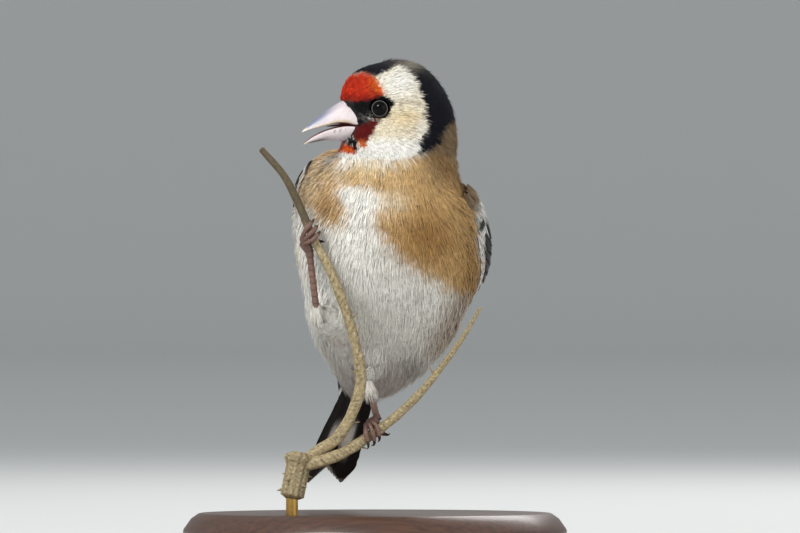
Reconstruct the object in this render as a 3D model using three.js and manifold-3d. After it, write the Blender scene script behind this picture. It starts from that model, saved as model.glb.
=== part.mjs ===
// European goldfinch clinging to a cut length of teasel, life size, on a display stand.
// Lengths are millimetres. +Z is up, -Y is the viewer's side and +X is the viewer's right.
// The origin is the middle of the stand's underside.
import * as THREE from 'three';
import { mergeVertices } from 'three/addons/utils/BufferGeometryUtils.js';
import Module from 'manifold-3d';

const wasm = await Module();
wasm.setup();

const V = (x, y, z) => new THREE.Vector3(x, y, z);
const rad = THREE.MathUtils.degToRad;
const lerp = THREE.MathUtils.lerp;
const smooth = (x, low, high) => THREE.MathUtils.smoothstep(x, low, high);
const SIDES = { left: 1, right: -1 };

// Driving dimensions
const GAP = 0.3;
const BASE_RADIUS = 48;
const BASE_HEIGHT = 8;
const BASE_EDGE = 1.4;
const BODY_CENTRE = V(3.4, -11, 67.5);
const BODY_PITCH = 56;
const BODY_YAW = -13;
const BODY_LEAN = 9;
const RUMP_YAW = 8;
const HEAD_CENTRE = V(5.4, -24.5, 108.6);
const HEAD_YAW = -72;
const HEAD_PITCH = 4;
const EYE_RADIUS = 2.2;
const EYE_AT = V(0, -3.6, 0.1);
const EYE_STANDS = 0.95;
const LID = { radius: 1.95, tube: 0.34, ahead: 1.05 };
const TAIL_BASE = V(-0.8, 6.5, 49.0);
const TAIL_TIP = V(-13.2, 37.0, 15.4);
const TAIL_LENGTH = TAIL_BASE.distanceTo(TAIL_TIP);
const TARSUS_RADIUS = 0.78;
const SKIN_SEGMENTS = 32;
const TORSO_RINGS = 20;
const NECK_RINGS = 3;
const HEAD_RINGS = 15;
const BLEND = 5;

// Frames: x is the bird's left, then the torso's y is dorsal and z runs to the head,
// the head's y is backward and z up, and the tail's y is dorsal and z runs to the tip.
function frame(at, turns) {
  const m = new THREE.Matrix4().makeTranslation(at.x, at.y, at.z);
  for (const [axis, degrees] of turns) {
    m.multiply(new THREE.Matrix4().makeRotationAxis(axis, rad(degrees)));
  }
  return m;
}
const AXIS_X = V(1, 0, 0);
const AXIS_Y = V(0, 1, 0);
const AXIS_Z = V(0, 0, 1);
const torso = frame(BODY_CENTRE, [[AXIS_Y, BODY_LEAN], [AXIS_Z, BODY_YAW], [AXIS_X, 90 - BODY_PITCH]]);
const rump = frame(BODY_CENTRE, [[AXIS_Y, BODY_LEAN], [AXIS_Z, BODY_YAW + RUMP_YAW], [AXIS_X, 90 - BODY_PITCH]]);
const head = frame(HEAD_CENTRE, [[AXIS_Z, HEAD_YAW], [AXIS_X, HEAD_PITCH]]);
const tail = (() => {
  const along = TAIL_TIP.clone().sub(TAIL_BASE).normalize();
  const dorsal = V(0, 0, 1).addScaledVector(along, -along.z).normalize();
  const left = V(0, 0, 0).crossVectors(dorsal, along).negate().normalize();
  const m = new THREE.Matrix4().makeBasis(left, dorsal, along);
  return m.determinant() < 0 ? new THREE.Matrix4().makeBasis(left.negate(), dorsal, along).setPosition(TAIL_BASE)
    : m.setPosition(TAIL_BASE);
})();
const inFrame = (m, x, y, z) => V(x, y, z).applyMatrix4(m);
// The folded wings run from the shoulders to a point over the tail.
const WING_START = inFrame(torso, 0, 0, 20);
const WING_END = inFrame(tail, 0, 4.5, 26);
const WING_RUN = WING_START.distanceTo(WING_END);
const back = (() => {
  const up = WING_START.clone().sub(WING_END).normalize();
  const dorsal = V(0, 1, 0).transformDirection(torso);
  dorsal.addScaledVector(up, -dorsal.dot(up)).normalize();
  const left = V(0, 0, 0).crossVectors(dorsal, up);
  return new THREE.Matrix4().makeBasis(left, dorsal, up).setPosition(WING_START);
})();

// The plumage's outline is the smooth union of named masses, each an ellipsoid in one of the frames.
function mass(place, at, size, tilt = 0) {
  const m = place.clone().multiply(frame(V(...at), [[AXIS_X, tilt]]));
  return { into: m.invert(), size: V(...size) };
}
const pair = (place, at, size, tilt) => [1, -1].map((s) => mass(place, [s * at[0], at[1], at[2]], size, tilt));

const bodyMasses = [
  mass(torso, [0, -1.5, 8], [23.2, 20, 22]),          // breast
  mass(torso, [-1.6, -1.8, -9], [19.0, 17.0, 21.5]),  // belly
  mass(torso, [0, 5, 8], [17.5, 14, 23]),             // mantle and back
  mass(torso, [-1.5, -0.5, 22], [19.5, 15, 12.5]),    // shoulders and crop
  mass(torso, [11.7, 3, 15], [8.2, 10, 12.5]),        // left wrist
  mass(torso, [-13, 3, 15], [8.2, 10, 12.5]),         // right wrist
  mass(rump, [-1.5, 2, -23], [11.5, 10.5, 15]),       // rump and vent
];
const tailCoverts = [
  mass(tail, [0, -1.6, 2], [6.8, 4.6, 15.5], -4),     // under-tail coverts
  mass(tail, [0, 2.0, -2], [6.6, 3.2, 13], 3),        // upper tail coverts
];
const headMasses = [
  mass(head, [0, 0.5, 0.5], [10.0, 12.1, 12.2]),      // skull
  mass(head, [0, -7.7, 3.3], [5.8, 6.6, 6.9]),        // forehead
  mass(head, [0, -9.0, -3.2], [3.4, 4.2, 4.6]),       // lores, round the bill's root
  mass(head, [0, -7.4, -7.6], [4.0, 5.6, 3.4]),       // chin
  mass(head, [0, 7.5, -6], [9.2, 7.2, 9.5]),          // nape
  ...pair(head, [5.0, 1.6, -4.6], [4.8, 6.6, 5.8]),   // ear coverts
];
const neckMasses = [
  { into: frame(V(5.9, -23.4, 96), []).invert(), size: V(13.6, 13.2, 12) },
];
const skinMasses = [...bodyMasses, ...tailCoverts, ...headMasses, ...neckMasses];
// Under the folded wings the back runs on over the tail's root.
const wingBedMasses = [...bodyMasses, mass(back, [0, 1.0, -WING_RUN], [8.4, 4.6, 34])];

function massDistance(m, p) {
  const q = p.clone().applyMatrix4(m.into);
  const a = q.clone().divide(m.size);
  const k0 = a.length();
  const k1 = a.divide(m.size).length();
  return k1 < 1e-9 ? -m.size.x : (k0 * (k0 - 1)) / k1;
}
function distance(masses, p) {
  let d = 1e3;
  for (const m of masses) {
    const e = massDistance(m, p);
    const h = Math.max(BLEND - Math.abs(d - e), 0) / BLEND;
    d = Math.min(d, e) - (h * h * BLEND) / 4;
  }
  return d;
}
// Walks in from outside to where the outline stands `lift` off the masses.
function cast(masses, centre, direction, lift = 0, reach = 46) {
  let r = reach;
  for (let n = 0; n < 90; n += 1) {
    const d = distance(masses, centre.clone().addScaledVector(direction, r)) - lift;
    if (Math.abs(d) < 1e-3) break;
    r -= d * 0.9;
    if (r < 0) return centre.clone();
  }
  return centre.clone().addScaledVector(direction, r);
}

// Closed meshes
function toSolid(geometry) {
  const g = geometry.clone();
  g.deleteAttribute('normal');
  g.deleteAttribute('uv');
  const merged = mergeVertices(g, 1e-4);
  return new wasm.Manifold(new wasm.Mesh({
    numProp: 3,
    vertProperties: new Float32Array(merged.attributes.position.array),
    triVerts: new Uint32Array(merged.index.array),
  }));
}
function solidFrom(points, triangles) {
  let volume = 0;
  for (let i = 0; i < triangles.length; i += 3) {
    const [a, b, c] = [points[triangles[i]], points[triangles[i + 1]], points[triangles[i + 2]]];
    volume += a.dot(b.clone().cross(c));
  }
  const index = volume < 0 ? triangles.slice().reverse() : triangles;
  const g = new THREE.BufferGeometry().setFromPoints(points);
  g.setIndex(index);
  return toSolid(g);
}
// Skins rings of points, and closes each end on a pole.
function loft(rings, firstPole, lastPole) {
  const m = rings[0].length;
  const points = rings.flat();
  const triangles = [];
  for (let i = 0; i + 1 < rings.length; i += 1) {
    for (let j = 0; j < m; j += 1) {
      const k = (j + 1) % m;
      triangles.push(i * m + j, i * m + k, (i + 1) * m + k, i * m + j, (i + 1) * m + k, (i + 1) * m + j);
    }
  }
  const middle = (ring) => ring.reduce((s, p) => s.add(p), V(0, 0, 0)).divideScalar(m);
  const first = points.push(firstPole ?? middle(rings[0])) - 1;
  const last = points.push(lastPole ?? middle(rings.at(-1))) - 1;
  const end = (rings.length - 1) * m;
  for (let j = 0; j < m; j += 1) {
    const k = (j + 1) % m;
    triangles.push(first, k, j, last, end + j, end + k);
  }
  return solidFrom(points, triangles);
}
// A thin slab between two grids of points, split alike on both faces.
function slab(top, bottom) {
  const rows = top.length;
  const cols = top[0].length;
  const points = [...top.flat(), ...bottom.flat()];
  const under = rows * cols;
  const at = (i, j) => i * cols + j;
  const triangles = [];
  for (let i = 0; i + 1 < rows; i += 1) {
    for (let j = 0; j + 1 < cols; j += 1) {
      const [a, b, c, d] = [at(i, j), at(i, j + 1), at(i + 1, j + 1), at(i + 1, j)];
      triangles.push(a, b, c, a, c, d, under + a, under + c, under + b, under + a, under + d, under + c);
    }
  }
  const rim = [];
  for (let j = 0; j + 1 < cols; j += 1) rim.push(at(0, j));
  for (let i = 0; i + 1 < rows; i += 1) rim.push(at(i, cols - 1));
  for (let j = cols - 1; j > 0; j -= 1) rim.push(at(rows - 1, j));
  for (let i = rows - 1; i > 0; i -= 1) rim.push(at(i, 0));
  rim.forEach((a, n) => {
    const b = rim[(n + 1) % rim.length];
    triangles.push(a, under + b, b, a, under + a, under + b);
  });
  return solidFrom(points, triangles);
}
// A round rod of changing radius along a smooth curve, closed on its two end points.
function rod(path, radiusAt, { steps = 16, sides = 8, flat = 1 } = {}) {
  const curve = new THREE.CatmullRomCurve3(path, false, 'centripetal');
  const rings = [];
  let across = V(0.31, 0.17, 0.93);
  for (let i = 0; i <= steps; i += 1) {
    const u = 0.002 + (0.996 * i) / steps;
    const along = curve.getTangentAt(u);
    across = across.addScaledVector(along, -across.dot(along)).normalize();
    const up = V(0, 0, 0).crossVectors(along, across);
    const centre = curve.getPointAt(u);
    const r = radiusAt(i / steps);
    rings.push(Array.from({ length: sides }, (_, j) => {
      const a = (j / sides) * Math.PI * 2;
      return centre.clone().addScaledVector(across, r * Math.cos(a)).addScaledVector(up, r * flat * Math.sin(a));
    }));
  }
  const ends = [0, 1].map((u) => {
    const out = curve.getTangentAt(u).multiplyScalar((u ? 1 : -1) * radiusAt(u) * 0.45);
    return curve.getPointAt(u).add(out);
  });
  return loft(rings, ends[0], ends[1]);
}
const ball = (at, size, across = 12, down = 8) => toSolid(new THREE.SphereGeometry(1, across, down)
  .scale(size.x, size.y, size.z).translate(at.x, at.y, at.z));
const union = (solids) => solids.reduce((a, b) => a.add(b));
function largest(solid) {
  return solid.decompose().sort((a, b) => b.volume() - a.volume())[0];
}

// Body, neck and head: rings across a spine that runs from the tail's root to the crown
const spine = new THREE.CatmullRomCurve3([
  inFrame(tail, 0, -0.4, 24),
  inFrame(tail, 0, 0, 8),
  inFrame(rump, 0, 2.5, -25),
  inFrame(torso, 0, 0, -8),
  inFrame(torso, 0, 0, 12),
  inFrame(torso, 0, 1.5, 26),
  V(5.2, -24.2, 98),
  HEAD_CENTRE.clone(),
  V(5.2, -24.2, 126),
], false, 'centripetal');
const SPINE_STEPS = 400;
function spineAt(test) {
  for (let i = 1; i < SPINE_STEPS; i += 1) {
    if (test(spine.getPointAt(i / SPINE_STEPS))) return i / SPINE_STEPS;
  }
  throw new Error('the spine does not pass there');
}
const inside = (p) => distance(skinMasses, p) < 0;
const spineStart = spineAt(inside);
const spineEnd = spineAt((p) => p.z > HEAD_CENTRE.z && !inside(p));
const NECK_FOOT_Z = 90.5;
const NECK_TOP_Z = 98.2;
const neckFoot = spineAt((p) => p.z > NECK_FOOT_Z);
const neckTop = spineAt((p) => p.z > NECK_TOP_Z);
const gapAlong = GAP / spine.getLength();

function skinRing(u, lift) {
  const along = spine.getTangentAt(u);
  const across = V(1, 0, 0).addScaledVector(along, -along.x).normalize();
  const back = V(0, 0, 0).crossVectors(along, across);
  const centre = spine.getPointAt(u);
  return Array.from({ length: SKIN_SEGMENTS }, (_, j) => {
    const a = (j / SKIN_SEGMENTS) * Math.PI * 2;
    const out = across.clone().multiplyScalar(Math.cos(a)).addScaledVector(back, Math.sin(a));
    return cast(skinMasses, centre, out, lift);
  });
}
// Stations crowd towards an end that closes on a pole.
function stations(from, to, count, roundStart, roundEnd) {
  return Array.from({ length: count + 1 }, (_, i) => {
    let s = i / count;
    if (roundStart) s = 1 - Math.sin((1 - s) * Math.PI / 2);
    if (roundEnd) s = Math.sin(s * Math.PI / 2);
    return lerp(from, to, s);
  });
}
function skinPiece(from, to, count, { roundStart = false, roundEnd = false, lift = 0 } = {}) {
  let list = stations(from, to, count, roundStart, roundEnd);
  let first;
  let last;
  if (roundStart) {
    list = list.slice(1);
    first = cast(skinMasses, spine.getPointAt(list[0]), spine.getTangentAt(list[0]).negate(), lift);
  }
  if (roundEnd) {
    list = list.slice(0, -1);
    last = cast(skinMasses, spine.getPointAt(list.at(-1)), spine.getTangentAt(list.at(-1)), lift);
  }
  return loft(list.map((u) => skinRing(u, lift)), first, last);
}
// Keeps what lies beyond the plane across the spine at u, moved up by `gap`, or short of it.
function cutAcross(solid, u, keep, gap = 0) {
  const normal = spine.getTangentAt(u);
  const offset = normal.dot(spine.getPointAt(u)) + gap;
  const way = keep === 'beyond' ? 1 : -1;
  return largest(solid.trimByPlane(normal.multiplyScalar(way).toArray(), way * offset));
}
const spare = 3 * gapAlong;
const torsoSolid = cutAcross(skinPiece(spineStart, neckFoot + spare, TORSO_RINGS, { roundStart: true }), neckFoot, 'short');
const neckPlain = cutAcross(skinPiece(neckFoot - spare, neckTop + spare, NECK_RINGS), neckFoot, 'beyond', GAP);
const neckSolid = cutAcross(neckPlain, neckTop, 'short');
const headSolid = cutAcross(skinPiece(neckTop - spare, spineEnd, HEAD_RINGS, { roundEnd: true }), neckTop, 'beyond', GAP);
const clearOfBody = skinPiece(spineStart, neckFoot, TORSO_RINGS, { roundStart: true, lift: GAP });
const clearOfHead = skinPiece(neckTop - 0.02, spineEnd, HEAD_RINGS, { roundEnd: true, lift: GAP });

// Eyes, each set on the head's own surface, and the ring of bare lid round each
const eyeAxis = (side) => V(side, -0.42, 0.05).transformDirection(head);
function eyeCentre(side) {
  const surface = cast(headMasses, inFrame(head, 0, EYE_AT.y, EYE_AT.z), eyeAxis(side));
  return surface.addScaledVector(eyeAxis(side), EYE_STANDS - EYE_RADIUS);
}
function eyeSolid(side, extra = 0) {
  const r = EYE_RADIUS + extra;
  return ball(eyeCentre(side), V(r, r, r), 14, 9);
}
function lidRing(side) {
  const ring = new THREE.TorusGeometry(LID.radius, LID.tube, 5, 16);
  ring.applyQuaternion(new THREE.Quaternion().setFromUnitVectors(AXIS_Z, eyeAxis(side)));
  const at = eyeCentre(side).addScaledVector(eyeAxis(side), LID.ahead);
  return toSolid(ring.translate(at.x, at.y, at.z));
}

// Bill, in the head's frame: y of each station, then z of the biting edge, z of the ridge or keel, and half width
const UPPER_BILL = [
  [-6.5, -3.3, 4.4, 4.6], [-10.2, -3.4, 4.2, 4.4], [-13.8, -2.3, 3.1, 3.8], [-16.5, -2.1, 1.8, 3.1],
  [-19.1, -2.6, 0.35, 2.3], [-22.0, -3.2, -1.55, 1.35], [-24.2, -3.8, -3.2, 0.6], [-25.0, -4.1, -4.0, 0.12],
];
const LOWER_BILL = [
  [-6.5, -3.9, -6.5, 3.9], [-10.4, -3.8, -6.6, 3.7], [-14.6, -3.5, -6.95, 3.1], [-18.7, -4.1, -6.5, 2.2],
  [-22.0, -5.3, -6.75, 1.2], [-23.9, -6.4, -7.0, 0.55], [-24.7, -6.95, -7.1, 0.12],
];
const TONGUE = [
  [-9.0, -2.9, -3.35, 1.5], [-13.0, -2.7, -3.2, 1.4], [-16.5, -2.75, -3.2, 1.0], [-18.4, -2.95, -3.1, 0.3],
];
function billHalf(profile) {
  const rings = profile.map(([y, edge, ridge, width]) => Array.from({ length: 12 }, (_, j) => {
    const a = (j / 12) * Math.PI * 2;
    const t = Math.sin(a);
    const rise = t > 0 ? Math.pow(t, 0.9) : 0.1 * t;
    return inFrame(head, width * Math.cos(a) * (1 - 0.14 * Math.abs(t)), y, lerp(edge, ridge, rise));
  }));
  return loft(rings);
}
const upperBill = billHalf(UPPER_BILL);
const lowerBill = billHalf(LOWER_BILL);
const tongue = billHalf(TONGUE);
const nostril = (side) => ball(inFrame(head, side * 2.6, -14.4, 1.3), V(0.6, 0.5, 0.5), 8, 6);

// Wings: pieces lie on the wing bed, placed by their height along the back's frame and by their share of
// the way from the leading edge, 0, to the inner edge beside the back's midline, 1.
const LEADING_EDGE = [[8, 84], [-2, 93], [-16, 94], [-30, 89], [-42, 80], [-54, 68], [-66, 52], [-80, 34]];
const INNER_EDGE = [[8, 44], [-2, 34], [-14, 22], [-26, 10], [-38, 3], [-50, 2], [-80, 2]];
function along(table, z) {
  const found = table.findIndex(([at]) => at <= z);
  if (found < 1) return found < 0 ? table.at(-1)[1] : table[0][1];
  const [z0, a0] = table[found - 1];
  const [z1, a1] = table[found];
  return lerp(a0, a1, (z - z0) / (z1 - z0));
}
function wingPoint(side, z, share, lift) {
  const a = rad(lerp(along(LEADING_EDGE, z), along(INNER_EDGE, z), share));
  const centre = inFrame(back, 0, 0.5, z);
  const out = V(side * Math.sin(a), Math.cos(a), 0).transformDirection(back);
  return cast(wingBedMasses, centre, out, lift);
}
// One feather: z, share and width (also a share) are given at its root and its tip.
const VANE_THICK = 0.5;
const VANE_SHAPE = [[0, 0.7], [0.35, 1], [0.7, 1], [0.9, 0.75], [1, 0.25]];
function wingVane(side, { z, share, width, lift, tilt = 0.4 }) {
  const top = [];
  const bottom = [];
  for (const [s, fullness] of VANE_SHAPE) {
    const at = lerp(z[0], z[1], s);
    const middle = lerp(share[0], share[1], s);
    const half = (lerp(width[0], width[1], s) / 2) * fullness;
    const across = [-half, 0, half].map((o, n) => [
      Math.min(Math.max(middle + o, 0), 1), lerp(lift[0], lift[1], s) + (tilt * (1 - n)) / 2,
    ]);
    top.push(across.map(([e, l], n) => wingPoint(side, at, e, l + VANE_THICK * (n === 1 ? 1.15 : 1))));
    bottom.push(across.map(([e, l]) => wingPoint(side, at, e, l)));
  }
  return slab(top, bottom);
}
// The forearm and hand under their small coverts: a pad over the front half of the wing
const ARM_ROWS = [5, 1, -5, -11, -17, -22, -26];
const ARM_REACH = [0.45, 0.62, 0.72, 0.8, 0.88, 0.92, 0.92];
const ARM_START = [0.15, 0.03, 0, 0, 0, 0, 0];
const ARM_CROWN = [0.4, 1.0, 1.3, 1.4, 1.3, 1.1, 0.9];
function wingArm(side) {
  const cols = [0, 0.16, 0.4, 0.65, 0.86, 1];
  const crown = [0.25, 0.85, 1, 1, 0.8, 0.2];
  const grid = (liftAt) => ARM_ROWS.map((z, i) => cols.map((c, j) => (
    wingPoint(side, z, lerp(ARM_START[i], ARM_REACH[i], c), liftAt(i, j)))));
  return slab(grid((i, j) => 1.0 + ARM_CROWN[i] * crown[j]), grid(() => 0.55));
}
const PRIMARIES = { count: 6, longest: -75.5, step: 3.8 };
const SECONDARIES = { count: 4 };
const TERTIALS = { count: 3 };
const GREATER_COVERTS = { count: 7 };
const PRIMARY_COVERTS = { count: 2 };
function wingFeathers(side) {
  const row = (count, feather) => Array.from({ length: count }, (_, i) => wingVane(side, feather(i)));
  return [
    ...row(PRIMARIES.count, (i) => ({
      z: [-29, PRIMARIES.longest + PRIMARIES.step * i + (i === 0 ? 1.5 : 0)],
      share: [0.09 + 0.055 * i, 0.58 + 0.03 * i],
      width: [0.16, 0.7],
      lift: [0.7 + 0.1 * i, 0.6 + 0.17 * i],
    })),
    ...row(SECONDARIES.count, (i) => ({
      z: [-27, -50.5 + 1.4 * i],
      share: [0.4 + 0.11 * i, 0.56 + 0.11 * i],
      width: [0.24, 0.36],
      lift: [1.1 + 0.12 * i, 1.35 + 0.2 * i],
    })),
    ...row(TERTIALS.count, (i) => ({
      z: [-20, -46 + 5 * i],
      share: [0.76 + 0.08 * i, 0.86 + 0.04 * i],
      width: [0.28, 0.36],
      lift: [1.5 + 0.12 * i, 2.1 + 0.25 * i],
    })),
    ...row(GREATER_COVERTS.count, (i) => ({
      z: [-19, -32 + 0.5 * i],
      share: [0.14 + 0.115 * i, 0.17 + 0.115 * i],
      width: [0.15, 0.16],
      lift: [1.4, 2.0 + 0.06 * i],
      tilt: 0.5,
    })),
    ...row(PRIMARY_COVERTS.count, (i) => ({
      z: [-22, -37 + 2.5 * i],
      share: [0.05 + 0.05 * i, 0.07 + 0.07 * i],
      width: [0.1, 0.12],
      lift: [1.2, 1.4 + 0.1 * i],
    })),
  ];
}
function wingSolid(side) {
  const whole = union([wingArm(side), ...wingFeathers(side)]);
  return largest(whole.subtract(clearOfBody));
}

// Tail: twelve feathers in a shallow fork, the middle pair uppermost
const TAIL_PAIRS = 6;
const TAIL_SHAPE = [[0, 0.42], [0.35, 0.7], [0.7, 1], [0.92, 0.92], [1, 0.45]];
function tailVane(side, i) {
  const length = TAIL_LENGTH - 3.6 + 0.72 * i;
  const turn = rad(0.6 * i + 0.2) * side;
  const width = 5.6 - 0.1 * i;
  const [top, bottom] = [0.5, 0].map((thick) => TAIL_SHAPE.map(([s, share]) => [-1, 0, 1].map((n) => {
    const across = side * (0.35 + 0.32 * i) + (n * width * share) / 2;
    const along = length * s;
    const x = across * Math.cos(turn) + along * Math.sin(turn);
    const z = along * Math.cos(turn) - across * Math.sin(turn);
    const y = 1.0 - 0.3 * i - 0.022 * x * x + thick * (n ? 1 : 1.25) - 0.12 * side * n;
    return inFrame(tail, x, y, z);
  })));
  return slab(top, bottom);
}
function tailSolid() {
  const vanes = [];
  for (let i = 0; i < TAIL_PAIRS; i += 1) vanes.push(tailVane(1, i), tailVane(-1, i));
  return largest(union(vanes).subtract(clearOfBody));
}

// Perch: a cut length of teasel stem with its receptacle, and the two long bracts that the feet hold
const STEM_RADIUS = 2.9;
const STEM_FOOT = V(-20.5, -27.5, 12.8);
const STEM_TOP = V(-18.6, -26.5, 22.4);
const LONG_BRACT = [
  V(-17.0, -25.5, 21.4), V(-13.6, -25.0, 24.0), V(-9.2, -25.2, 27.2), V(-5.6, -26.0, 33.2), V(-3.4, -27.0, 41.0),
  V(-4.6, -29.0, 50.0), V(-7.6, -32.0, 60.0), V(-11.4, -33.6, 69.5), V(-15.4, -33.2, 77.0), V(-18.6, -32.5, 84.6),
  V(-22.4, -31.5, 92.0), V(-28.0, -29.5, 98.6),
];
const LOW_BRACT = [
  V(-17.4, -27.6, 20.4), V(-12.4, -27.4, 21.6), V(-7.4, -25.6, 23.6), V(-1.4, -22.6, 27.4), V(4.4, -21.2, 31.6),
  V(10.8, -21.6, 37.6), V(16.4, -23.4, 44.4), V(21.6, -26.0, 51.6), V(26.2, -28.8, 59.4),
];
function thorn(at, out, length, radius) {
  const cone = new THREE.ConeGeometry(radius, length, 6);
  cone.translate(0, length / 2 - radius, 0);
  cone.applyQuaternion(new THREE.Quaternion().setFromUnitVectors(AXIS_Y, out.clone().normalize()));
  return toSolid(cone.translate(at.x, at.y, at.z));
}
const BRACT_RADIUS = { right: [1.5, 0.85], left: [1.55, 0.4] };
const bractRadius = (leg) => (s) => lerp(BRACT_RADIUS[leg][0], BRACT_RADIUS[leg][1], Math.pow(s, 1.2));
function stemBody(extra) {
  const middle = STEM_FOOT.clone().lerp(STEM_TOP, 0.5);
  return rod([STEM_FOOT, middle, STEM_TOP], (s) => STEM_RADIUS * (1 + 0.28 * smooth(s, 0.72, 0.95)) + extra,
    { steps: 7, sides: 12 });
}
function stemSolid() {
  const along = STEM_TOP.clone().sub(STEM_FOOT);
  const pieces = [stemBody(0)];
  for (let i = 0; i < 5; i += 1) {
    const turn = i * 2.4 + 0.8;
    const out = V(Math.cos(turn), Math.sin(turn), -0.45);
    const at = STEM_FOOT.clone().addScaledVector(along, 0.16 + 0.13 * i)
      .addScaledVector(V(out.x, out.y, 0), STEM_RADIUS * 0.85);
    pieces.push(thorn(at, out, 2.3, 0.55));
  }
  return union(pieces);
}
function bractSolid(leg, path, thornsAt) {
  const curve = new THREE.CatmullRomCurve3(path, false, 'centripetal');
  const radiusAt = bractRadius(leg);
  const pieces = [rod(path, radiusAt, { steps: 20, sides: 7 })];
  thornsAt.forEach((s, i) => {
    const along = curve.getTangentAt(s);
    const out = V(0, 0, 0).crossVectors(along, V(0, i % 2 ? 1 : -1, 0.2)).normalize().addScaledVector(along, 0.4);
    pieces.push(thorn(curve.getPointAt(s), out, 1.9 + radiusAt(s), 0.42));
  });
  return largest(union(pieces).subtract(stemBody(GAP)));
}

// Legs and feet
const LEGS = {
  right: {
    thigh: [V(-7.0, -16, 57), V(-11.8, -23.0, 55.8), V(-14.3, -28.9, 58.6)],
    heel: V(-14.6, -30.6, 60.2),
    joint: V(-16.2, -32.4, 73.6),
    path: LONG_BRACT,
    gripZ: 76.6,
    palm: V(-0.95, 0.1, -0.1),
    drift: 2.6,
  },
  left: {
    thigh: [V(1.4, -6, 53), V(-0.4, -12.4, 46.4), V(-1.5, -16.6, 41.0)],
    heel: V(-1.5, -17.4, 39.9),
    joint: V(0.6, -20.6, 31.6),
    path: LOW_BRACT,
    gripZ: 28.4,
    palm: V(-0.25, 0.45, 0.85),
    drift: -2.6,
  },
};
const thighRadius = (extra) => (s) => lerp(8.6, 1.6, Math.pow(s, 0.95)) + extra;
const thighRod = (leg, extra) => rod(LEGS[leg].thigh, thighRadius(extra), { steps: 7, sides: 14 });
const SCUTES = 7;
function tarsusRadius(extra) {
  return (s) => {
    const step = (s * SCUTES) % 1;
    const knob = 0.34 * Math.exp(-Math.pow(s / 0.1, 2)) + 0.3 * Math.exp(-Math.pow((1 - s) / 0.1, 2));
    return TARSUS_RADIUS + knob + 0.13 * (1 - step) + extra;
  };
}
function tarsusRod(leg, extra) {
  const { heel, joint, thigh } = LEGS[leg];
  const start = heel.clone().lerp(thigh.at(-1), 0.4);
  const middle = heel.clone().lerp(joint, 0.5);
  return rod([start, heel, middle, joint], tarsusRadius(extra), { steps: 21, sides: 7 });
}
const TOE_RADIUS = 0.58;
const CLAW_SHARE = 0.74;
const TOES = [
  { spread: -1.7, from: 12, to: 200, length: 1.0 },
  { spread: 0, from: 12, to: 225, length: 1.0 },
  { spread: 1.7, from: 12, to: 205, length: 1.0 },
  { spread: 0.3, from: -15, to: -165, length: 1.15 },
];
function footSolid(leg) {
  const { joint, path, gripZ, palm, drift } = LEGS[leg];
  const curve = new THREE.CatmullRomCurve3(path, false, 'centripetal');
  let u = 0;
  while (curve.getPointAt(u).z < gripZ) u += 0.002;
  const centre = curve.getPointAt(u);
  const along = curve.getTangentAt(u);
  const p = palm.clone().addScaledVector(along, -palm.dot(along)).normalize();
  const q = V(0, 0, 0).crossVectors(along, p);
  if (q.y > 0) q.negate();
  const bract = bractRadius(leg)(u);
  const reach = bract + GAP + TOE_RADIUS + 0.12;
  const pieces = [];
  const middle = centre.clone().addScaledVector(p, bract + GAP + 1.25);
  for (const toe of TOES) {
    const points = [joint.clone().lerp(middle, 0.45)];
    const turns = 7;
    for (let i = 0; i <= turns; i += 1) {
      const s = i / turns;
      const a = rad(lerp(toe.from, toe.to, s));
      const r = reach + 0.75 * Math.exp(-s * 6) + 0.18 * Math.sin(s * 9);
      const shift = toe.spread * Math.min(1, s * 2.2 + 0.2) + drift * s * Math.sign(toe.to);
      points.push(centre.clone().addScaledVector(p, r * Math.cos(a)).addScaledVector(q, r * Math.sin(a))
        .addScaledVector(along, shift));
    }
    const radiusAt = (s) => {
      if (s > CLAW_SHARE) return lerp(0.42, 0.07, (s - CLAW_SHARE) / (1 - CLAW_SHARE));
      return TOE_RADIUS * (1 + 0.14 * Math.cos(s * 22)) * toe.length ** 0.5;
    };
    pieces.push(rod(points, radiusAt, { steps: 12, sides: 6 }));
  }
  pieces.push(rod([joint, middle], (s) => 1.25 + 0.1 * Math.sin(s * 3), { steps: 3, sides: 8 }));
  const held = rod(path, (s) => bractRadius(leg)(s) + GAP, { steps: 20, sides: 7 });
  return largest(union(pieces).subtract(held).subtract(tarsusRod(leg, GAP)));
}

// Stand
function baseSolid() {
  const profile = [
    [0, 0], [BASE_RADIUS - BASE_EDGE, 0], [BASE_RADIUS, BASE_EDGE], [BASE_RADIUS, BASE_HEIGHT - 3 * BASE_EDGE],
    [BASE_RADIUS - 2, BASE_HEIGHT - BASE_EDGE], [BASE_RADIUS - 4, BASE_HEIGHT], [0, BASE_HEIGHT],
  ].map(([r, z]) => new THREE.Vector2(r, z));
  return toSolid(new THREE.LatheGeometry(profile, 40).rotateX(Math.PI / 2));
}
function rodSolid() {
  const bottom = V(STEM_FOOT.x, STEM_FOOT.y, BASE_HEIGHT + GAP);
  const top = V(STEM_FOOT.x, STEM_FOOT.y, STEM_FOOT.z + 4);
  const length = top.z - bottom.z;
  const shape = new THREE.CylinderGeometry(1.5, 1.5, length, 14).rotateX(Math.PI / 2);
  const stem = stemBody(GAP);
  return toSolid(shape.translate(bottom.x, bottom.y, bottom.z + length / 2)).subtract(stem);
}

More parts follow.
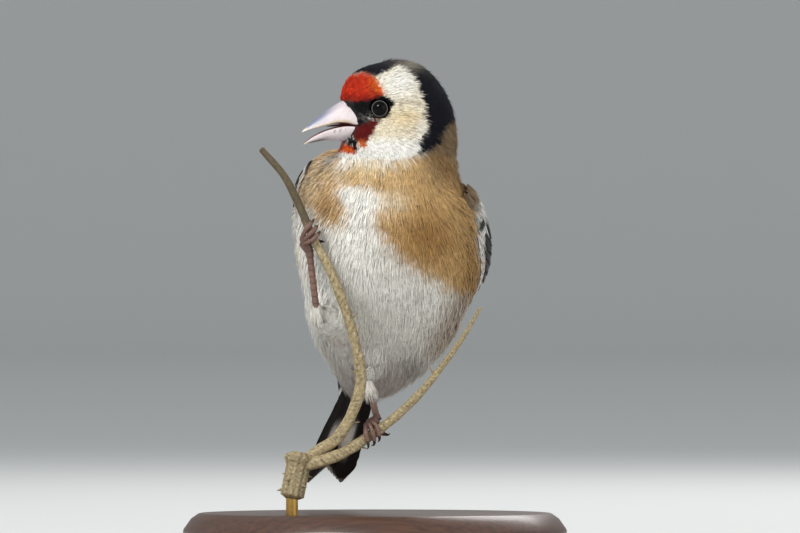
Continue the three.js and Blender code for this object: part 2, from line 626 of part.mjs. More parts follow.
// The group of named meshes
const COLOURS = {
  plumage: [0xc8a878, 0.9], head: [0xe4dccb, 0.9], wing: [0x1c1a19, 0.7], tail: [0x1c1a19, 0.7],
  bill: [0xd9ccc8, 0.4], tongue: [0x8c4a48, 0.4], eye: [0x0c0908, 0.05], leg: [0x8a6355, 0.55],
  teasel: [0x9b8a5c, 0.85], wood: [0x3d2a1d, 0.4], brass: [0xb08d4a, 0.35],
};
const part = new THREE.Group();
function add(name, solid, colour) {
  const { vertProperties, triVerts } = solid.getMesh();
  const g = new THREE.BufferGeometry();
  g.setAttribute('position', new THREE.BufferAttribute(vertProperties, 3));
  g.setIndex(new THREE.BufferAttribute(triVerts, 1));
  const [shade, roughness] = COLOURS[colour];
  const material = new THREE.MeshStandardMaterial({
    color: shade, roughness, metalness: colour === 'brass' ? 1 : 0,
  });
  const mesh = new THREE.Mesh(g, material);
  mesh.name = name;
  part.add(mesh);
}

const bothEyes = union([eyeSolid(1, GAP), eyeSolid(-1, GAP)]);
add('head', largest(union([headSolid, lidRing(1), lidRing(-1)]).subtract(bothEyes)), 'head');
add('neck', neckSolid, 'plumage');
add('torso', torsoSolid, 'plumage');
for (const [name, side] of Object.entries(SIDES)) {
  add(`eye_${name}`, eyeSolid(side), 'eye');
  add(`wing_${name}`, wingSolid(side), 'wing');
}
const bill = upperBill.subtract(union([nostril(1), nostril(-1)]));
add('bill_upper', largest(bill.subtract(clearOfHead)), 'bill');
add('bill_lower', largest(lowerBill.subtract(clearOfHead)), 'bill');
add('tongue', largest(tongue.subtract(clearOfHead)), 'tongue');
add('tail', tailSolid(), 'tail');
for (const leg of Object.keys(LEGS)) {
  add(`thigh_${leg}`, largest(thighRod(leg, 0).subtract(clearOfBody)), 'plumage');
  add(`tarsus_${leg}`, largest(tarsusRod(leg, 0).subtract(thighRod(leg, GAP)).subtract(clearOfBody)), 'leg');
  add(`foot_${leg}`, footSolid(leg), 'leg');
}
add('perch_stem', stemSolid(), 'teasel');
add('perch_bract_long', bractSolid('right', LONG_BRACT, [0.16, 0.3, 0.46]), 'teasel');
add('perch_bract_low', bractSolid('left', LOW_BRACT, [0.24, 0.66]), 'teasel');
add('stand_base', baseSolid(), 'wood');
add('stand_rod', rodSolid(), 'brass');

export default part;
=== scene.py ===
# European goldfinch clinging to a cut length of teasel: skin, coat, feathers, small parts and finishes.
# Settings are in millimetres in the part's own frame, and meshes are written in metres.
import math
import bpy
import numpy as np
from mathutils import Matrix, Vector
from mathutils.bvhtree import BVHTree


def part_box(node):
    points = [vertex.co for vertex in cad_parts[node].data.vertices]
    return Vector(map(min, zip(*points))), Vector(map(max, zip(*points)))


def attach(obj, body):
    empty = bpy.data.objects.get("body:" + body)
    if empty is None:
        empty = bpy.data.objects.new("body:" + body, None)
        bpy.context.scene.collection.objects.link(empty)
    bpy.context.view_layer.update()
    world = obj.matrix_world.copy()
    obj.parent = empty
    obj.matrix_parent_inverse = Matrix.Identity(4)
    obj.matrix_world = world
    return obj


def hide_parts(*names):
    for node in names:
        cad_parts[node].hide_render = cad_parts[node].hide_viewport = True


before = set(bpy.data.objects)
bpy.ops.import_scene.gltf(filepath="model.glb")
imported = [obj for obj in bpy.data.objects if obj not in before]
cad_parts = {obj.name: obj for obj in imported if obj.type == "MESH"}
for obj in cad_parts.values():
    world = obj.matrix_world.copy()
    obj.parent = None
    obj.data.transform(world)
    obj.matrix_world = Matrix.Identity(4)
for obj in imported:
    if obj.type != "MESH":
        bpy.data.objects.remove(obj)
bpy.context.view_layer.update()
mm = 0.001
rng = np.random.default_rng(11)
print("frame loaded:", len(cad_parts), "solids")


# Small helpers on rows of points
def vec(*numbers):
    return np.array(numbers, float)


def unit(v):
    return v / np.maximum(np.linalg.norm(v, axis=-1, keepdims=True), 1e-9)


def blendBetween(x, low, high):
    t = np.clip((np.asarray(x, float) - low) / (high - low), 0, 1)
    return t * t * (3 - 2 * t)


def mix(a, b, share):
    share = np.asarray(share, float)
    while share.ndim < np.ndim(a) or share.ndim < np.ndim(b):
        share = share[..., None]
    return a * (1 - share) + b * share


def turned(*turns):
    whole = Matrix.Identity(3)
    for axis, degrees in turns:
        whole = whole @ Matrix.Rotation(math.radians(degrees), 3, axis)
    return np.array(whole)


def intoFrame(place, points):
    return (points - place["at"]) @ place["turn"]


def outOfFrame(place, points):
    return place["at"] + np.asarray(points, float) @ place["turn"].T


def smoothCurve(points, count):
    # Catmull-Rom through the points, evenly spread by length
    p = np.asarray(points, float)
    ends = np.vstack([2 * p[0] - p[1], p, 2 * p[-1] - p[-2]])
    t = np.linspace(0, len(p) - 1, 40 * len(p))
    i = np.minimum(t.astype(int), len(p) - 2)
    u = (t - i)[:, None]
    a, b, c, d = ends[i], ends[i + 1], ends[i + 2], ends[i + 3]
    fine = 0.5 * (2 * b + (c - a) * u + (2 * a - 5 * b + 4 * c - d) * u ** 2 + (3 * b - a - 3 * c + d)
                  * u ** 3)
    run = np.concatenate([[0], np.cumsum(np.linalg.norm(np.diff(fine, axis=0), axis=1))])
    want = np.linspace(0, run[-1], count)
    return np.stack([np.interp(want, run, fine[:, k]) for k in range(p.shape[1])], axis=1)


def framesAlong(path):
    # the direction, side and top of a curve at each of its points, without twist
    ahead = unit(np.gradient(path, axis=0))
    side = np.zeros_like(path)
    across = vec(0.31, 0.17, 0.93)
    for i, way in enumerate(ahead):
        across = unit(across - way * across.dot(way))
        side[i] = across
    return ahead, side, np.cross(ahead, side)


def applied(piece, kind, **settings):
    modifier = piece.modifiers.new(kind.lower(), kind)
    for name, value in settings.items():
        setattr(modifier, name, value)
    bpy.ops.object.modifier_apply(modifier=modifier.name)


def facedOut(merge=0.0):
    # the active mesh with its faces turned outward, and points closer than merge made one
    bpy.ops.object.mode_set(mode="EDIT")
    bpy.ops.mesh.select_all(action="SELECT")
    if merge:
        bpy.ops.mesh.remove_doubles(threshold=merge)
    bpy.ops.mesh.normals_make_consistent(inside=False)
    bpy.ops.object.mode_set(mode="OBJECT")


# Frames: x is the bird's left; the torso's y is dorsal and its z runs to the head,
# the head's y is backward and its z is up, and the tail's y is dorsal and its z runs to the tip.
pose = dict(bodyAt=vec(3.4, -11, 67.5), bodyPitch=56, bodyYaw=-13, bodyLean=9, rumpYaw=8,
            headAt=vec(5.4, -24.5, 108.6), headYaw=-72, headPitch=4,
            tailBase=vec(-0.8, 6.5, 49.0), tailTip=vec(-13.2, 37.0, 15.4))
torso = dict(at=pose["bodyAt"], turn=turned(("Y", pose["bodyLean"]), ("Z", pose["bodyYaw"]),
                                            ("X", 90 - pose["bodyPitch"])))
rump = dict(at=pose["bodyAt"], turn=turned(("Y", pose["bodyLean"]), ("Z", pose["bodyYaw"] + pose["rumpYaw"]),
                                           ("X", 90 - pose["bodyPitch"])))
head = dict(at=pose["headAt"], turn=turned(("Z", pose["headYaw"]), ("X", pose["headPitch"])))


def frameAlong(at, along, dorsal):
    dorsal = unit(dorsal - along * dorsal.dot(along))
    return dict(at=at, turn=np.stack([np.cross(dorsal, along), dorsal, along], axis=1))


tailRun = pose["tailTip"] - pose["tailBase"]
tail = frameAlong(pose["tailBase"], unit(tailRun), vec(0, 0, 1))
tailLength = float(np.linalg.norm(tailRun))
wingStart = outOfFrame(torso, vec(0, 0, 20))
wingEnd = outOfFrame(tail, vec(0, 4.5, 26))
wingRun = float(np.linalg.norm(wingStart - wingEnd))
back = frameAlong(wingStart, unit(wingStart - wingEnd), torso["turn"][:, 1])

# Edges of a folded wing: height on the back's frame, and degrees round it from the back's midline
wingEdges = dict(leading=([-80, -66, -54, -42, -30, -16, -2, 8], [34, 52, 68, 80, 89, 94, 93, 84]),
                 inner=([-80, -50, -38, -26, -14, -2, 8], [2, 2, 3, 10, 22, 34, 44]))
eyeRadius = 2.2

# Legs: where each thigh ends, its heel and lower joint, and how its foot holds its bract
legs = dict(
    right=dict(thighEnd=vec(-14.3, -28.9, 58.6), heel=vec(-14.6, -30.6, 60.2), joint=vec(-16.2, -32.4, 73.6),
               bract="long", gripZ=76.6, palm=vec(-0.95, 0.1, -0.1), drift=2.6),
    left=dict(thighEnd=vec(-1.5, -16.6, 41.0), heel=vec(-1.5, -17.4, 39.9), joint=vec(0.6, -20.6, 31.6),
              bract="low", gripZ=28.4, palm=vec(-0.25, 0.45, 0.85), drift=-2.6),
)


# Camera, floor and light
view = dict(centre=(6.25, 69.6), width=200.0, distance=3.0, sensor=36, target=(0.004, -0.01, 0.07))
floor = dict(size=16.0, bend=1.5, colour=(0.60, 0.60, 0.58), roughness=0.8)


def makeCamera():
    bpy.ops.object.camera_add(location=(view["centre"][0] * mm, -view["distance"], view["centre"][1] * mm),
                              rotation=(math.radians(90), 0, 0))
    camera = bpy.context.object
    camera.data.sensor_width = view["sensor"]
    camera.data.lens = view["sensor"] * view["distance"] / (view["width"] * mm)
    camera.data.clip_end = 20
    bpy.context.scene.camera = camera


def makeStage():
    bpy.ops.mesh.primitive_plane_add(size=floor["size"], location=(0, 0, 0))
    ground = bpy.context.object
    ground.name = "floor"
    bpy.ops.object.mode_set(mode="EDIT")
    bpy.ops.mesh.select_all(action="DESELECT")
    bpy.ops.object.mode_set(mode="OBJECT")
    for edge in ground.data.edges:
        edge.select = all(ground.data.vertices[i].co.y > 0 for i in edge.vertices)
    bpy.ops.object.mode_set(mode="EDIT")
    bpy.ops.mesh.select_mode(type="EDGE")
    bpy.ops.mesh.extrude_region_move(TRANSFORM_OT_translate={"value": (0, 0, floor["size"] / 2)})
    bpy.ops.object.mode_set(mode="OBJECT")
    applied(ground, "BEVEL", width=floor["bend"], segments=16, limit_method="ANGLE")
    bpy.ops.object.shade_smooth()
    paint = bpy.data.materials.new("paleFloor")
    paint.use_nodes = True
    shader = paint.node_tree.nodes["Principled BSDF"]
    shader.inputs["Base Color"].default_value = (*floor["colour"], 1)
    shader.inputs["Roughness"].default_value = floor["roughness"]
    ground.data.materials.append(paint)


lights = dict(
    key=dict(at=(-0.6, -0.9, 1.0), size=0.4, power=15.0),
    fill=dict(at=(0.9, -0.7, 0.45), size=1.0, power=3.2),
    rim=dict(at=(0.35, 0.75, 0.8), size=0.6, power=6.0),
    world=0.6, sky=(0.9, 0.95, 1.0),
)


def makeLights():
    for name in ("key", "fill", "rim"):
        spec = lights[name]
        bpy.ops.object.light_add(type="AREA", location=spec["at"])
        lamp = bpy.context.object
        lamp.name = name
        lamp.data.size = spec["size"]
        lamp.data.energy = spec["power"]
        lamp.rotation_mode = "QUATERNION"
        lamp.rotation_quaternion = (Vector(spec["at"]) - Vector(view["target"])).to_track_quat("Z", "Y")
    world = bpy.data.worlds.new("softRoom")
    bpy.context.scene.world = world
    world.use_nodes = True
    world.node_tree.nodes["Background"].inputs["Color"].default_value = (*lights["sky"], 1)
    world.node_tree.nodes["Background"].inputs["Strength"].default_value = lights["world"]


makeCamera()
makeStage()
makeLights()
bpy.context.scene.view_settings.view_transform = "Standard"
print("camera, floor and light made")


# Colours of the plumage, as seen, and where each lies
def seen(red, green, blue):
    c = np.array([red, green, blue], float) / 255
    return np.where(c <= 0.04045, c / 12.92, ((c + 0.055) / 1.055) ** 2.4)


plumage = dict(
    white=seen(244, 240, 230), cream=seen(233, 220, 192), greyWhite=seen(208, 204, 198),
    tan=seen(206, 164, 104), tanDark=seen(140, 100, 52), paleTan=seen(226, 200, 152),
    mantle=seen(124, 94, 66), nape=seen(140, 116, 86), rumpWhite=seen(226, 214, 196),
    black=seen(14, 13, 14), crown=seen(19, 19, 26), brownBlack=seen(66, 52, 42),
    red=seen(196, 50, 22), redDark=seen(120, 20, 12), orange=seen(226, 112, 38), crimson=seen(92, 18, 16),
    yellow=seen(236, 190, 20),
)


def outlineShare(points, outline, softness):
    # 1 inside an outline, 0 outside, with an edge as soft as given
    corners = np.asarray(outline, float)
    nearest = np.full(len(points), 1e9)
    inside = np.zeros(len(points), bool)
    for a, b in zip(corners, np.roll(corners, -1, axis=0)):
        edge = b - a
        t = np.clip(((points - a) @ edge) / edge.dot(edge), 0, 1)
        nearest = np.minimum(nearest, np.linalg.norm(points - a - t[:, None] * edge, axis=1))
        crosses = (a[1] > points[:, 1]) != (b[1] > points[:, 1])
        if crosses.any():
            at = a[0] + (points[:, 1] - a[1]) / (edge[1] if edge[1] else 1e-9) * edge[0]
            inside ^= crosses & (points[:, 0] < at)
    return blendBetween(np.where(inside, nearest, -nearest), -softness, softness)


def bump(points, at, reach):
    return np.exp(-(((points - np.asarray(at)) / np.asarray(reach)) ** 2).sum(axis=-1))


# Outlines on the side of the head: millimetres forward of the head's middle, and above it
headMarks = dict(
    redMask=[(15.4, 1.0), (15.2, 3.6), (14.3, 6.0), (12.6, 8.2), (11.0, 8.7), (9.4, 8.3), (8.0, 9.1),
             (6.3, 8.3),
             (4.7, 7.2), (3.7, 5.6), (2.8, 4.0), (2.6, 3.0), (5.0, 2.2), (7.5, 1.6), (9.8, 1.2), (11.7, 1.6),
             (13.2, 1.6)],
    lores=[(15.6, 1.4), (13.3, 2.3), (11.7, 2.2), (9.8, 1.8), (7.5, 2.3), (5.6, 2.6), (3.1, 3.3), (1.4, 3.0),
           (0.0, 1.3), (1.0, -0.1), (3.1, -0.9), (4.4, -2.5), (6.3, -3.6), (8.2, -4.4), (9.8, -4.9),
           (12.5, -5.0),
           (14.5, -3.0)],
    crimson=[(13.5, -4.3), (10.1, -4.1), (8.5, -3.9), (6.3, -3.1), (4.2, -2.5), (4.9, -4.6), (5.3, -6.5),
             (6.6, -7.9), (7.5, -9.6), (8.8, -9.9), (9.6, -8.5), (10.6, -7.5), (13.5, -7.4), (14.0, -5.5)],
    chin=[(15.4, -8.9), (12.6, -8.9), (11.2, -9.0), (9.7, -9.8), (9.9, -10.9), (10.9, -11.4), (12.6, -11.0),
          (15.0, -10.4)],
    beard=[(15.6, -6.4), (11.0, -6.6), (9.8, -7.8), (9.2, -9.9), (9.9, -10.9), (10.8, -10.2), (11.6, -9.2),
           (13.2, -8.9), (15.6, -9.0)],
    crown=[(11.2, 8.9), (9.6, 11.3), (6.4, 13.0), (3.1, 14.0), (-1.0, 14.0), (-5.0, 13.0), (-9.0, 9.6),
           (-12.6, 5.2), (-15.0, 1.0), (-14.4, -3.0), (-11.8, -5.4), (-10.6, -9.0), (-8.2, -10.4),
           (-5.4, -12.0),
           (-6.3, -9.0), (-5.6, -7.8), (-6.9, -7.0), (-7.8, -4.6), (-7.5, -2.4), (-7.1, 0.8), (-6.3, 3.0),
           (-5.5, 5.6), (-4.4, 8.0), (-2.4, 9.7), (-0.1, 10.5), (1.8, 9.5), (5.0, 8.0), (6.6, 8.2),
           (8.0, 9.0),
           (9.8, 8.4)],
)


def sideOfHead(points):
    # the far side of the head is marked as the near one
    local = intoFrame(head, points)
    local[:, 0] = np.abs(local[:, 0])
    mirrored = outOfFrame(head, local)
    return np.stack([head["at"][0] - mirrored[:, 0], mirrored[:, 2] - head["at"][2]], axis=1)


# the nape's own brown with dark streaks, darkened as painted shade
def napeWithPaintedShade(ragged):
    return mix(plumage["nape"][None] * 0.85, plumage["brownBlack"][None], (ragged[:, 2] > 0.62) * 0.5)


def headColours(points, ragged):
    flat = sideOfHead(points) + ragged[:, :2] * 0.45
    forward, up = flat[:, 0], flat[:, 1]
    near = lambda name, soft=0.4: outlineShare(flat, headMarks[name], soft)
    colour = np.tile(plumage["cream"], (len(points), 1))
    colour = mix(colour, plumage["white"], bump(flat, (-1.2, 6.4), (5.2, 4.0)))
    colour = mix(colour, plumage["white"], blendBetween(-up, 6.0, 9.5))
    colour = mix(colour, plumage["white"], bump(flat, (-6.6, -4.2), (1.5, 4.0)) * 0.7)
    colour = mix(colour, plumage["paleTan"], bump(flat, (-2.6, -2.4), (4.2, 2.0)) * 0.8)
    colour = mix(colour, plumage["nape"] * 0.6, bump(flat, (-2.8, 1.6), (4.0, 0.4)) * 0.5)
    nape = np.maximum(blendBetween(-forward, 10.6, 12.4), blendBetween(-forward - 0.8 * (up + 10), 6.6, 9.0))
    colour = mix(colour, napeWithPaintedShade(ragged), nape * blendBetween(-up, -2.5, 3.0))
    dark = near("crown")
    thin = bump(flat, (-3.6, 10.8), (3.4, 1.6)) * 0.55
    colour = mix(colour, mix(plumage["crown"][None], plumage["brownBlack"][None], thin),
                 dark * (1 - 0.4 * thin))
    red = mix(plumage["red"][None], plumage["orange"][None], bump(flat, (3.8, 6.2), (2.4, 2.6)) * 0.9)
    red = mix(red, plumage["redDark"][None], blendBetween(4.6 - up, 0, 2.4) * 0.7)
    red = mix(red, plumage["redDark"][None], (ragged[:, 2] > 0.6) * 0.5)
    colour = mix(colour, red, near("redMask", 0.5))
    colour = mix(colour, plumage["black"], near("lores"))
    stubble = bump(flat, (5.4, -2.3), (2.4, 1.0))
    colour = mix(colour, plumage["greyWhite"], stubble * (ragged[:, 2] > 0.45) * 0.75)
    deep = mix(plumage["crimson"][None], plumage["orange"][None] * 0.8, blendBetween(-up, 7.2, 9.4))
    deep = mix(deep, plumage["black"][None], blendBetween(forward, 9.2, 10.6)
               * blendBetween(up, -7.0, -6.0) * 0.85)
    colour = mix(colour, deep, near("crimson"))
    chin = mix(plumage["orange"][None], plumage["red"][None], ragged[:, 2:3] * 0.5 + 0.3)
    colour = mix(colour, chin, near("chin", 0.5))
    streak = mix(plumage["black"][None], plumage["white"][None], (np.sin(flat[:, 0] * 7.8) > 0.78) * 0.55)
    colour = mix(colour, streak, near("beard", 0.35))
    return colour


# Outlines on the front of the body: millimetres to the viewer's right of the middle, and above the base
breastMarks = dict(
    leftPatch=[(-16.5, 95.5), (-10.0, 94.6), (-8.6, 90.6), (-9.0, 86.0), (-6.6, 82.6), (-7.8, 78.6),
               (-11.8, 79.4),
               (-15.6, 83.0), (-18.6, 84.0), (-19.6, 90.0)],
    rightPatch=[(-6.0, 93.6), (1.0, 93.2), (8.0, 94.8), (13.0, 99.0), (22.0, 99.0), (27.0, 88.0),
                (27.5, 72.0),
                (24.0, 62.0), (19.0, 63.6), (13.4, 67.0), (8.6, 70.0), (3.6, 74.6), (0.4, 78.4), (0.6, 81.6),
                (2.4, 83.6), (1.6, 87.0), (-1.6, 88.8), (-8.0, 89.2), (-9.0, 93.0)],
)


def bodyColours(points, ragged):
    local = intoFrame(torso, points)
    flat = points[:, [0, 2]] + ragged[:, :2] * 1.5
    x, z = flat[:, 0], flat[:, 1]
    colour = np.tile(plumage["white"], (len(points), 1))
    # greyer towards the bottom: the lower belly's own whitish grey and painted shade under the body
    colour = mix(colour, plumage["greyWhite"], blendBetween(62 - z, 0, 18) * 0.55)
    colour = mix(colour, plumage["tan"], outlineShare(flat, breastMarks["leftPatch"], 2.2) * 0.9)
    colour = mix(colour, plumage["tan"], outlineShare(flat, breastMarks["rightPatch"], 2.2) * 0.95)
    # a darker part of the right breast patch: painted shade
    colour = mix(colour, plumage["tanDark"], bump(flat, (12.5, 76.5), (9.0, 8.0)) * 0.85)
    colour = mix(colour, plumage["tanDark"], bump(flat, (-12.0, 83.5), (3.4, 4.0)) * 0.6)
    colour = mix(colour, plumage["paleTan"], bump(flat, (-2.0, 92.4), (9.0, 2.0)) * 0.5)
    colour = mix(colour, plumage["cream"], bump(flat, (4.6, 85.0), (3.6, 3.0)) * 0.6)
    # the right flank darkens towards its edge: its own brownish buff and painted shade where the body turns
    # away
    rim = np.interp(z, [41, 46, 51, 56, 61, 66], [11, 16, 18, 20.5, 22.5, 25.5])
    flank = blendBetween(x - rim, -8, -1.5) * blendBetween(z, 44, 50) * blendBetween(80 - z, 0, 14)
    colour = mix(colour, plumage["tanDark"] * 0.9, flank * 0.6)
    flank = blendBetween(-x, 16.5, 19) * blendBetween(z, 44, 52) * blendBetween(80 - z, 0, 14)
    colour = mix(colour, plumage["tan"], flank * 0.5)
    # the neck's brown grows darker towards the viewer's right: painted shade on its far side
    colour = mix(colour, napeWithPaintedShade(ragged), blendBetween(x, 8, 16) * blendBetween(z, 86, 94) * 0.8)
    # a dark spot low on the right: painted shadow in the gap at the base of the wing and tail
    colour = mix(colour, plumage["brownBlack"], bump(flat, (8.5, 44.5), (3.0, 2.2)) * 0.5)
    dorsal = local[:, 1] + ragged[:, 0] * 1.2
    upper = blendBetween(dorsal, 2.0, 7.0)
    colour = mix(colour, plumage["tanDark"], blendBetween(dorsal, -3, 4) * blendBetween(z, 60, 76) * 0.5)
    mantle = mix(plumage["mantle"][None], plumage["nape"][None], blendBetween(z, 84, 96))
    colour = mix(colour, mantle, upper * blendBetween(local[:, 2], -22, -12))
    pale = bump(flat, (-18.0, 94.5), (5.0, 7.0)) * blendBetween(11 - dorsal, 0, 4)
    colour = mix(colour, mix(plumage["white"][None], plumage["paleTan"][None], ragged[:, 2:3]), pale * 0.8)
    colour = mix(colour, plumage["rumpWhite"], upper * blendBetween(-local[:, 2], 13, 22))
    return colour


def markings(points):
    # points are in millimetres; a seeded, smooth wobble keeps the edges of the marks ragged
    ragged = np.stack([
        np.sin(points @ vec(2.1, 1.3, 2.9) + 1.0) + np.sin(points @ vec(-3.7, 2.2, 1.9) + 4.0),
        np.sin(points @ vec(1.7, -2.4, 3.1) + 2.0) + np.sin(points @ vec(2.9, 3.3, -2.3)),
        np.sin(points @ vec(4.1, 3.7, 5.3)) * 0.5 + 0.5,
    ], axis=1)
    ragged[:, :2] *= 0.35
    onHead = blendBetween(points[:, 2], 95.5, 98.0)
    return mix(bodyColours(points, ragged), headColours(points, ragged), onHead)


# Materials
def newMaterial(name, roughness=0.6, **fixed):
    material = bpy.data.materials.new(name)
    material.use_nodes = True
    shader = material.node_tree.nodes["Principled BSDF"]
    shader.inputs["Roughness"].default_value = roughness
    for socket, value in fixed.items():
        shader.inputs[socket].default_value = value
    return material, material.node_tree, shader


def grainGroup():
    # mottles a colour and gives a height, from Object coordinates
    group = bpy.data.node_groups.new("mottle", "ShaderNodeTree")
    for name, kind, way in (("Colour", "Color", "INPUT"), ("Scale", "Float", "INPUT"),
                            ("Amount", "Float", "INPUT"),
                            ("Stretch", "Vector", "INPUT"), ("Colour", "Color", "OUTPUT"),
                            ("Height", "Float", "OUTPUT")):
        group.interface.new_socket(name, in_out=way, socket_type="NodeSocket" + kind)
    add = group.nodes.new
    start, end = add("NodeGroupInput"), add("NodeGroupOutput")
    place, noise, spread = add("ShaderNodeTexCoord"), add("ShaderNodeTexNoise"), add("ShaderNodeMapRange")
    stretch, level, shade = add("ShaderNodeVectorMath"), add("ShaderNodeMath"), add("ShaderNodeVectorMath")
    stretch.operation, level.operation, shade.operation = "MULTIPLY", "MULTIPLY_ADD", "SCALE"
    noise.inputs["Detail"].default_value = 4
    for socket, value in (("From Min", 0.3), ("From Max", 0.7), ("To Min", -1)):
        spread.inputs[socket].default_value = value
    level.inputs[2].default_value = 1
    for source, target in (
        (place.outputs["Object"], stretch.inputs[0]), (start.outputs["Stretch"], stretch.inputs[1]),
        (stretch.outputs[0], noise.inputs["Vector"]), (start.outputs["Scale"], noise.inputs["Scale"]),
        (noise.outputs["Fac"], spread.inputs["Value"]), (spread.outputs[0], level.inputs[0]),
        (start.outputs["Amount"], level.inputs[1]), (start.outputs["Colour"], shade.inputs[0]),
        (level.outputs[0], shade.inputs["Scale"]), (shade.outputs[0], end.inputs["Colour"]),
        (noise.outputs["Fac"], end.inputs["Height"]),
    ):
        group.links.new(source, target)
    return group


mottle = grainGroup()


def addMottle(tree, shader, scale, amount, bumpBy, colour=None, source=None, stretch=(1, 1, 1), depth=0.1):
    use = tree.nodes.new("ShaderNodeGroup")
    use.node_tree = mottle
    use.inputs["Scale"].default_value = scale
    use.inputs["Amount"].default_value = amount
    use.inputs["Stretch"].default_value = stretch
    if source is None:
        use.inputs["Colour"].default_value = (*colour, 1)
    else:
        tree.links.new(source, use.inputs["Colour"])
    tree.links.new(use.outputs["Colour"], shader.inputs["Base Color"])
    if bumpBy:
        bumpNode = tree.nodes.new("ShaderNodeBump")
        bumpNode.inputs["Strength"].default_value = bumpBy
        bumpNode.inputs["Distance"].default_value = depth * mm
        tree.links.new(use.outputs["Height"], bumpNode.inputs["Height"])
        tree.links.new(bumpNode.outputs["Normal"], shader.inputs["Normal"])


def markedMaterial(name, roughness, scale, amount, bumpBy, **fixed):
    material, tree, shader = newMaterial(name, roughness, **fixed)
    paint = tree.nodes.new("ShaderNodeAttribute")
    paint.attribute_name = "marking"
    addMottle(tree, shader, source=paint.outputs["Color"], scale=scale, amount=amount, bumpBy=bumpBy)
    return material


def plainMaterial(name, colour, roughness, scale, amount, bumpBy=0.2, **fixed):
    material, tree, shader = newMaterial(name, roughness, **fixed)
    addMottle(tree, shader, colour=colour, scale=scale, amount=amount, bumpBy=bumpBy)
    return material


finishes = dict(
    skin=markedMaterial("downySkin", 0.95, 1500, 0.25, 0.5),
    coat=markedMaterial("bodyFeathers", 0.82, 900, 0.12, 0.0, **{"Specular IOR Level": 0.15}),
    vane=markedMaterial("flightFeathers", 0.52, 1600, 0.15, 0.25, **{"Specular IOR Level": 0.4}),
    leg=markedMaterial("legSkin", 0.48, 2600, 0.3, 0.35),
    claw=markedMaterial("clawHorn", 0.3, 2000, 0.12, 0.1),
    bill=markedMaterial("horn", 0.34, 1400, 0.08, 0.12),
    lid=plainMaterial("bareLid", seen(88, 82, 78), 0.55, 4000, 0.3),
    bract=markedMaterial("driedBract", 0.72, 1500, 0.3, 0.5),
    brass=plainMaterial("brassRod", seen(178, 140, 76), 0.3, 1500, 0.12, bumpBy=0.05, Metallic=1.0),
)


# Meshes from arrays
def readVertices(mesh):
    # the places in millimetres and the normals of a mesh's points
    places, normals = (np.zeros(len(mesh.vertices) * 3, np.float32) for _ in range(2))
    mesh.vertices.foreach_get("co", places)
    mesh.vertices.foreach_get("normal", normals)
    return places.reshape(-1, 3).astype(float) / mm, normals.reshape(-1, 3).astype(float)


def storeMarking(mesh, colours):
    rgba = np.ones((len(colours), 4), np.float32)
    rgba[:, :3] = colours
    mesh.attributes.new("marking", "FLOAT_COLOR", "POINT").data.foreach_set("color", rgba.ravel())


def meshPiece(name, points, faces, material, marking=None, uv=None, replaces=()):
    # points in millimetres, faces a triangle or quad array, uv one row per corner
    faces = np.asarray(faces, np.int32)
    corners = faces.shape[1]
    mesh = bpy.data.meshes.new(name)
    mesh.vertices.add(len(points))
    mesh.vertices.foreach_set("co", np.ascontiguousarray(points * mm, np.float32).ravel())
    mesh.loops.add(faces.size)
    mesh.loops.foreach_set("vertex_index", faces.ravel())
    mesh.polygons.add(len(faces))
    mesh.polygons.foreach_set("loop_start", np.arange(0, faces.size, corners, dtype=np.int32))
    mesh.update(calc_edges=True)
    mesh.polygons.foreach_set("use_smooth", np.ones(len(faces), bool))
    if marking is not None:
        storeMarking(mesh, marking)
    if uv is not None:
        layer = mesh.uv_layers.new(name="OFBake")
        layer.data.foreach_set("uv", np.ascontiguousarray(uv, np.float32).ravel())
    mesh.materials.append(material)
    piece = bpy.data.objects.new(name, mesh)
    bpy.context.scene.collection.objects.link(piece)
    return placePiece(piece, replaces)


def placePiece(piece, replaces=()):
    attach(piece, "root")
    if replaces:
        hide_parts(*replaces)
    return piece


def joinArrays(parts):
    # parts are (points, faces, marking); one array of each comes back
    shift = np.cumsum([0] + [len(p[0]) for p in parts[:-1]])
    return (np.concatenate([p[0] for p in parts]),
            np.concatenate([p[1] + n for p, n in zip(parts, shift)]),
            np.concatenate([p[2] for p in parts]))


def closedRings(n, m):
    # triangles between n rings of m points, and over both ends to one point more in the middle of each
    i, j = np.meshgrid(np.arange(n - 1), np.arange(m), indexing="ij")
    k = (j + 1) % m
    a, b, c, d = (v.ravel() for v in (i * m + j, i * m + k, (i + 1) * m + k, (i + 1) * m + j))
    j = np.arange(m)
    k = (j + 1) % m
    start, stop, last = np.full(m, n * m), np.full(m, n * m + 1), (n - 1) * m
    corners = ((a, b, c), (a, c, d), (start, k, j), (stop, last + j, last + k))
    return np.concatenate([np.stack(three, axis=1) for three in corners])


def tube(path, radii, sides, colours):
    # a closed tube of triangles; its ends close on short caps
    ahead, side, top = framesAlong(path)
    a = np.linspace(0, 2 * np.pi, sides, endpoint=False)
    radii = np.asarray(radii)
    if radii.ndim == 1:
        radii = np.repeat(radii[:, None], sides, axis=1)
    ring = (path[:, None] + side[:, None] * (np.cos(a) * radii)[..., None]
            + top[:, None] * (np.sin(a) * radii)[..., None])
    caps = [ring[0] * 0.5 + path[0] * 0.5 - ahead[0] * radii[0].mean() * 0.3,
            ring[-1] * 0.5 + path[-1] * 0.5 + ahead[-1] * radii[-1].mean() * 0.3]
    rings = np.concatenate([caps[0][None], ring, caps[1][None]])
    n, m = rings.shape[:2]
    points = np.concatenate([rings.reshape(-1, 3), rings[0].mean(0)[None], rings[-1].mean(0)[None]])
    shade = np.concatenate([colours[:1], colours, colours[-1:]])
    shade = np.repeat(shade, m, axis=0) if shade.ndim == 2 else shade.reshape(-1, 3)
    shade = np.concatenate([shade, shade[:1], shade[-1:]])
    return points, closedRings(n, m), shade


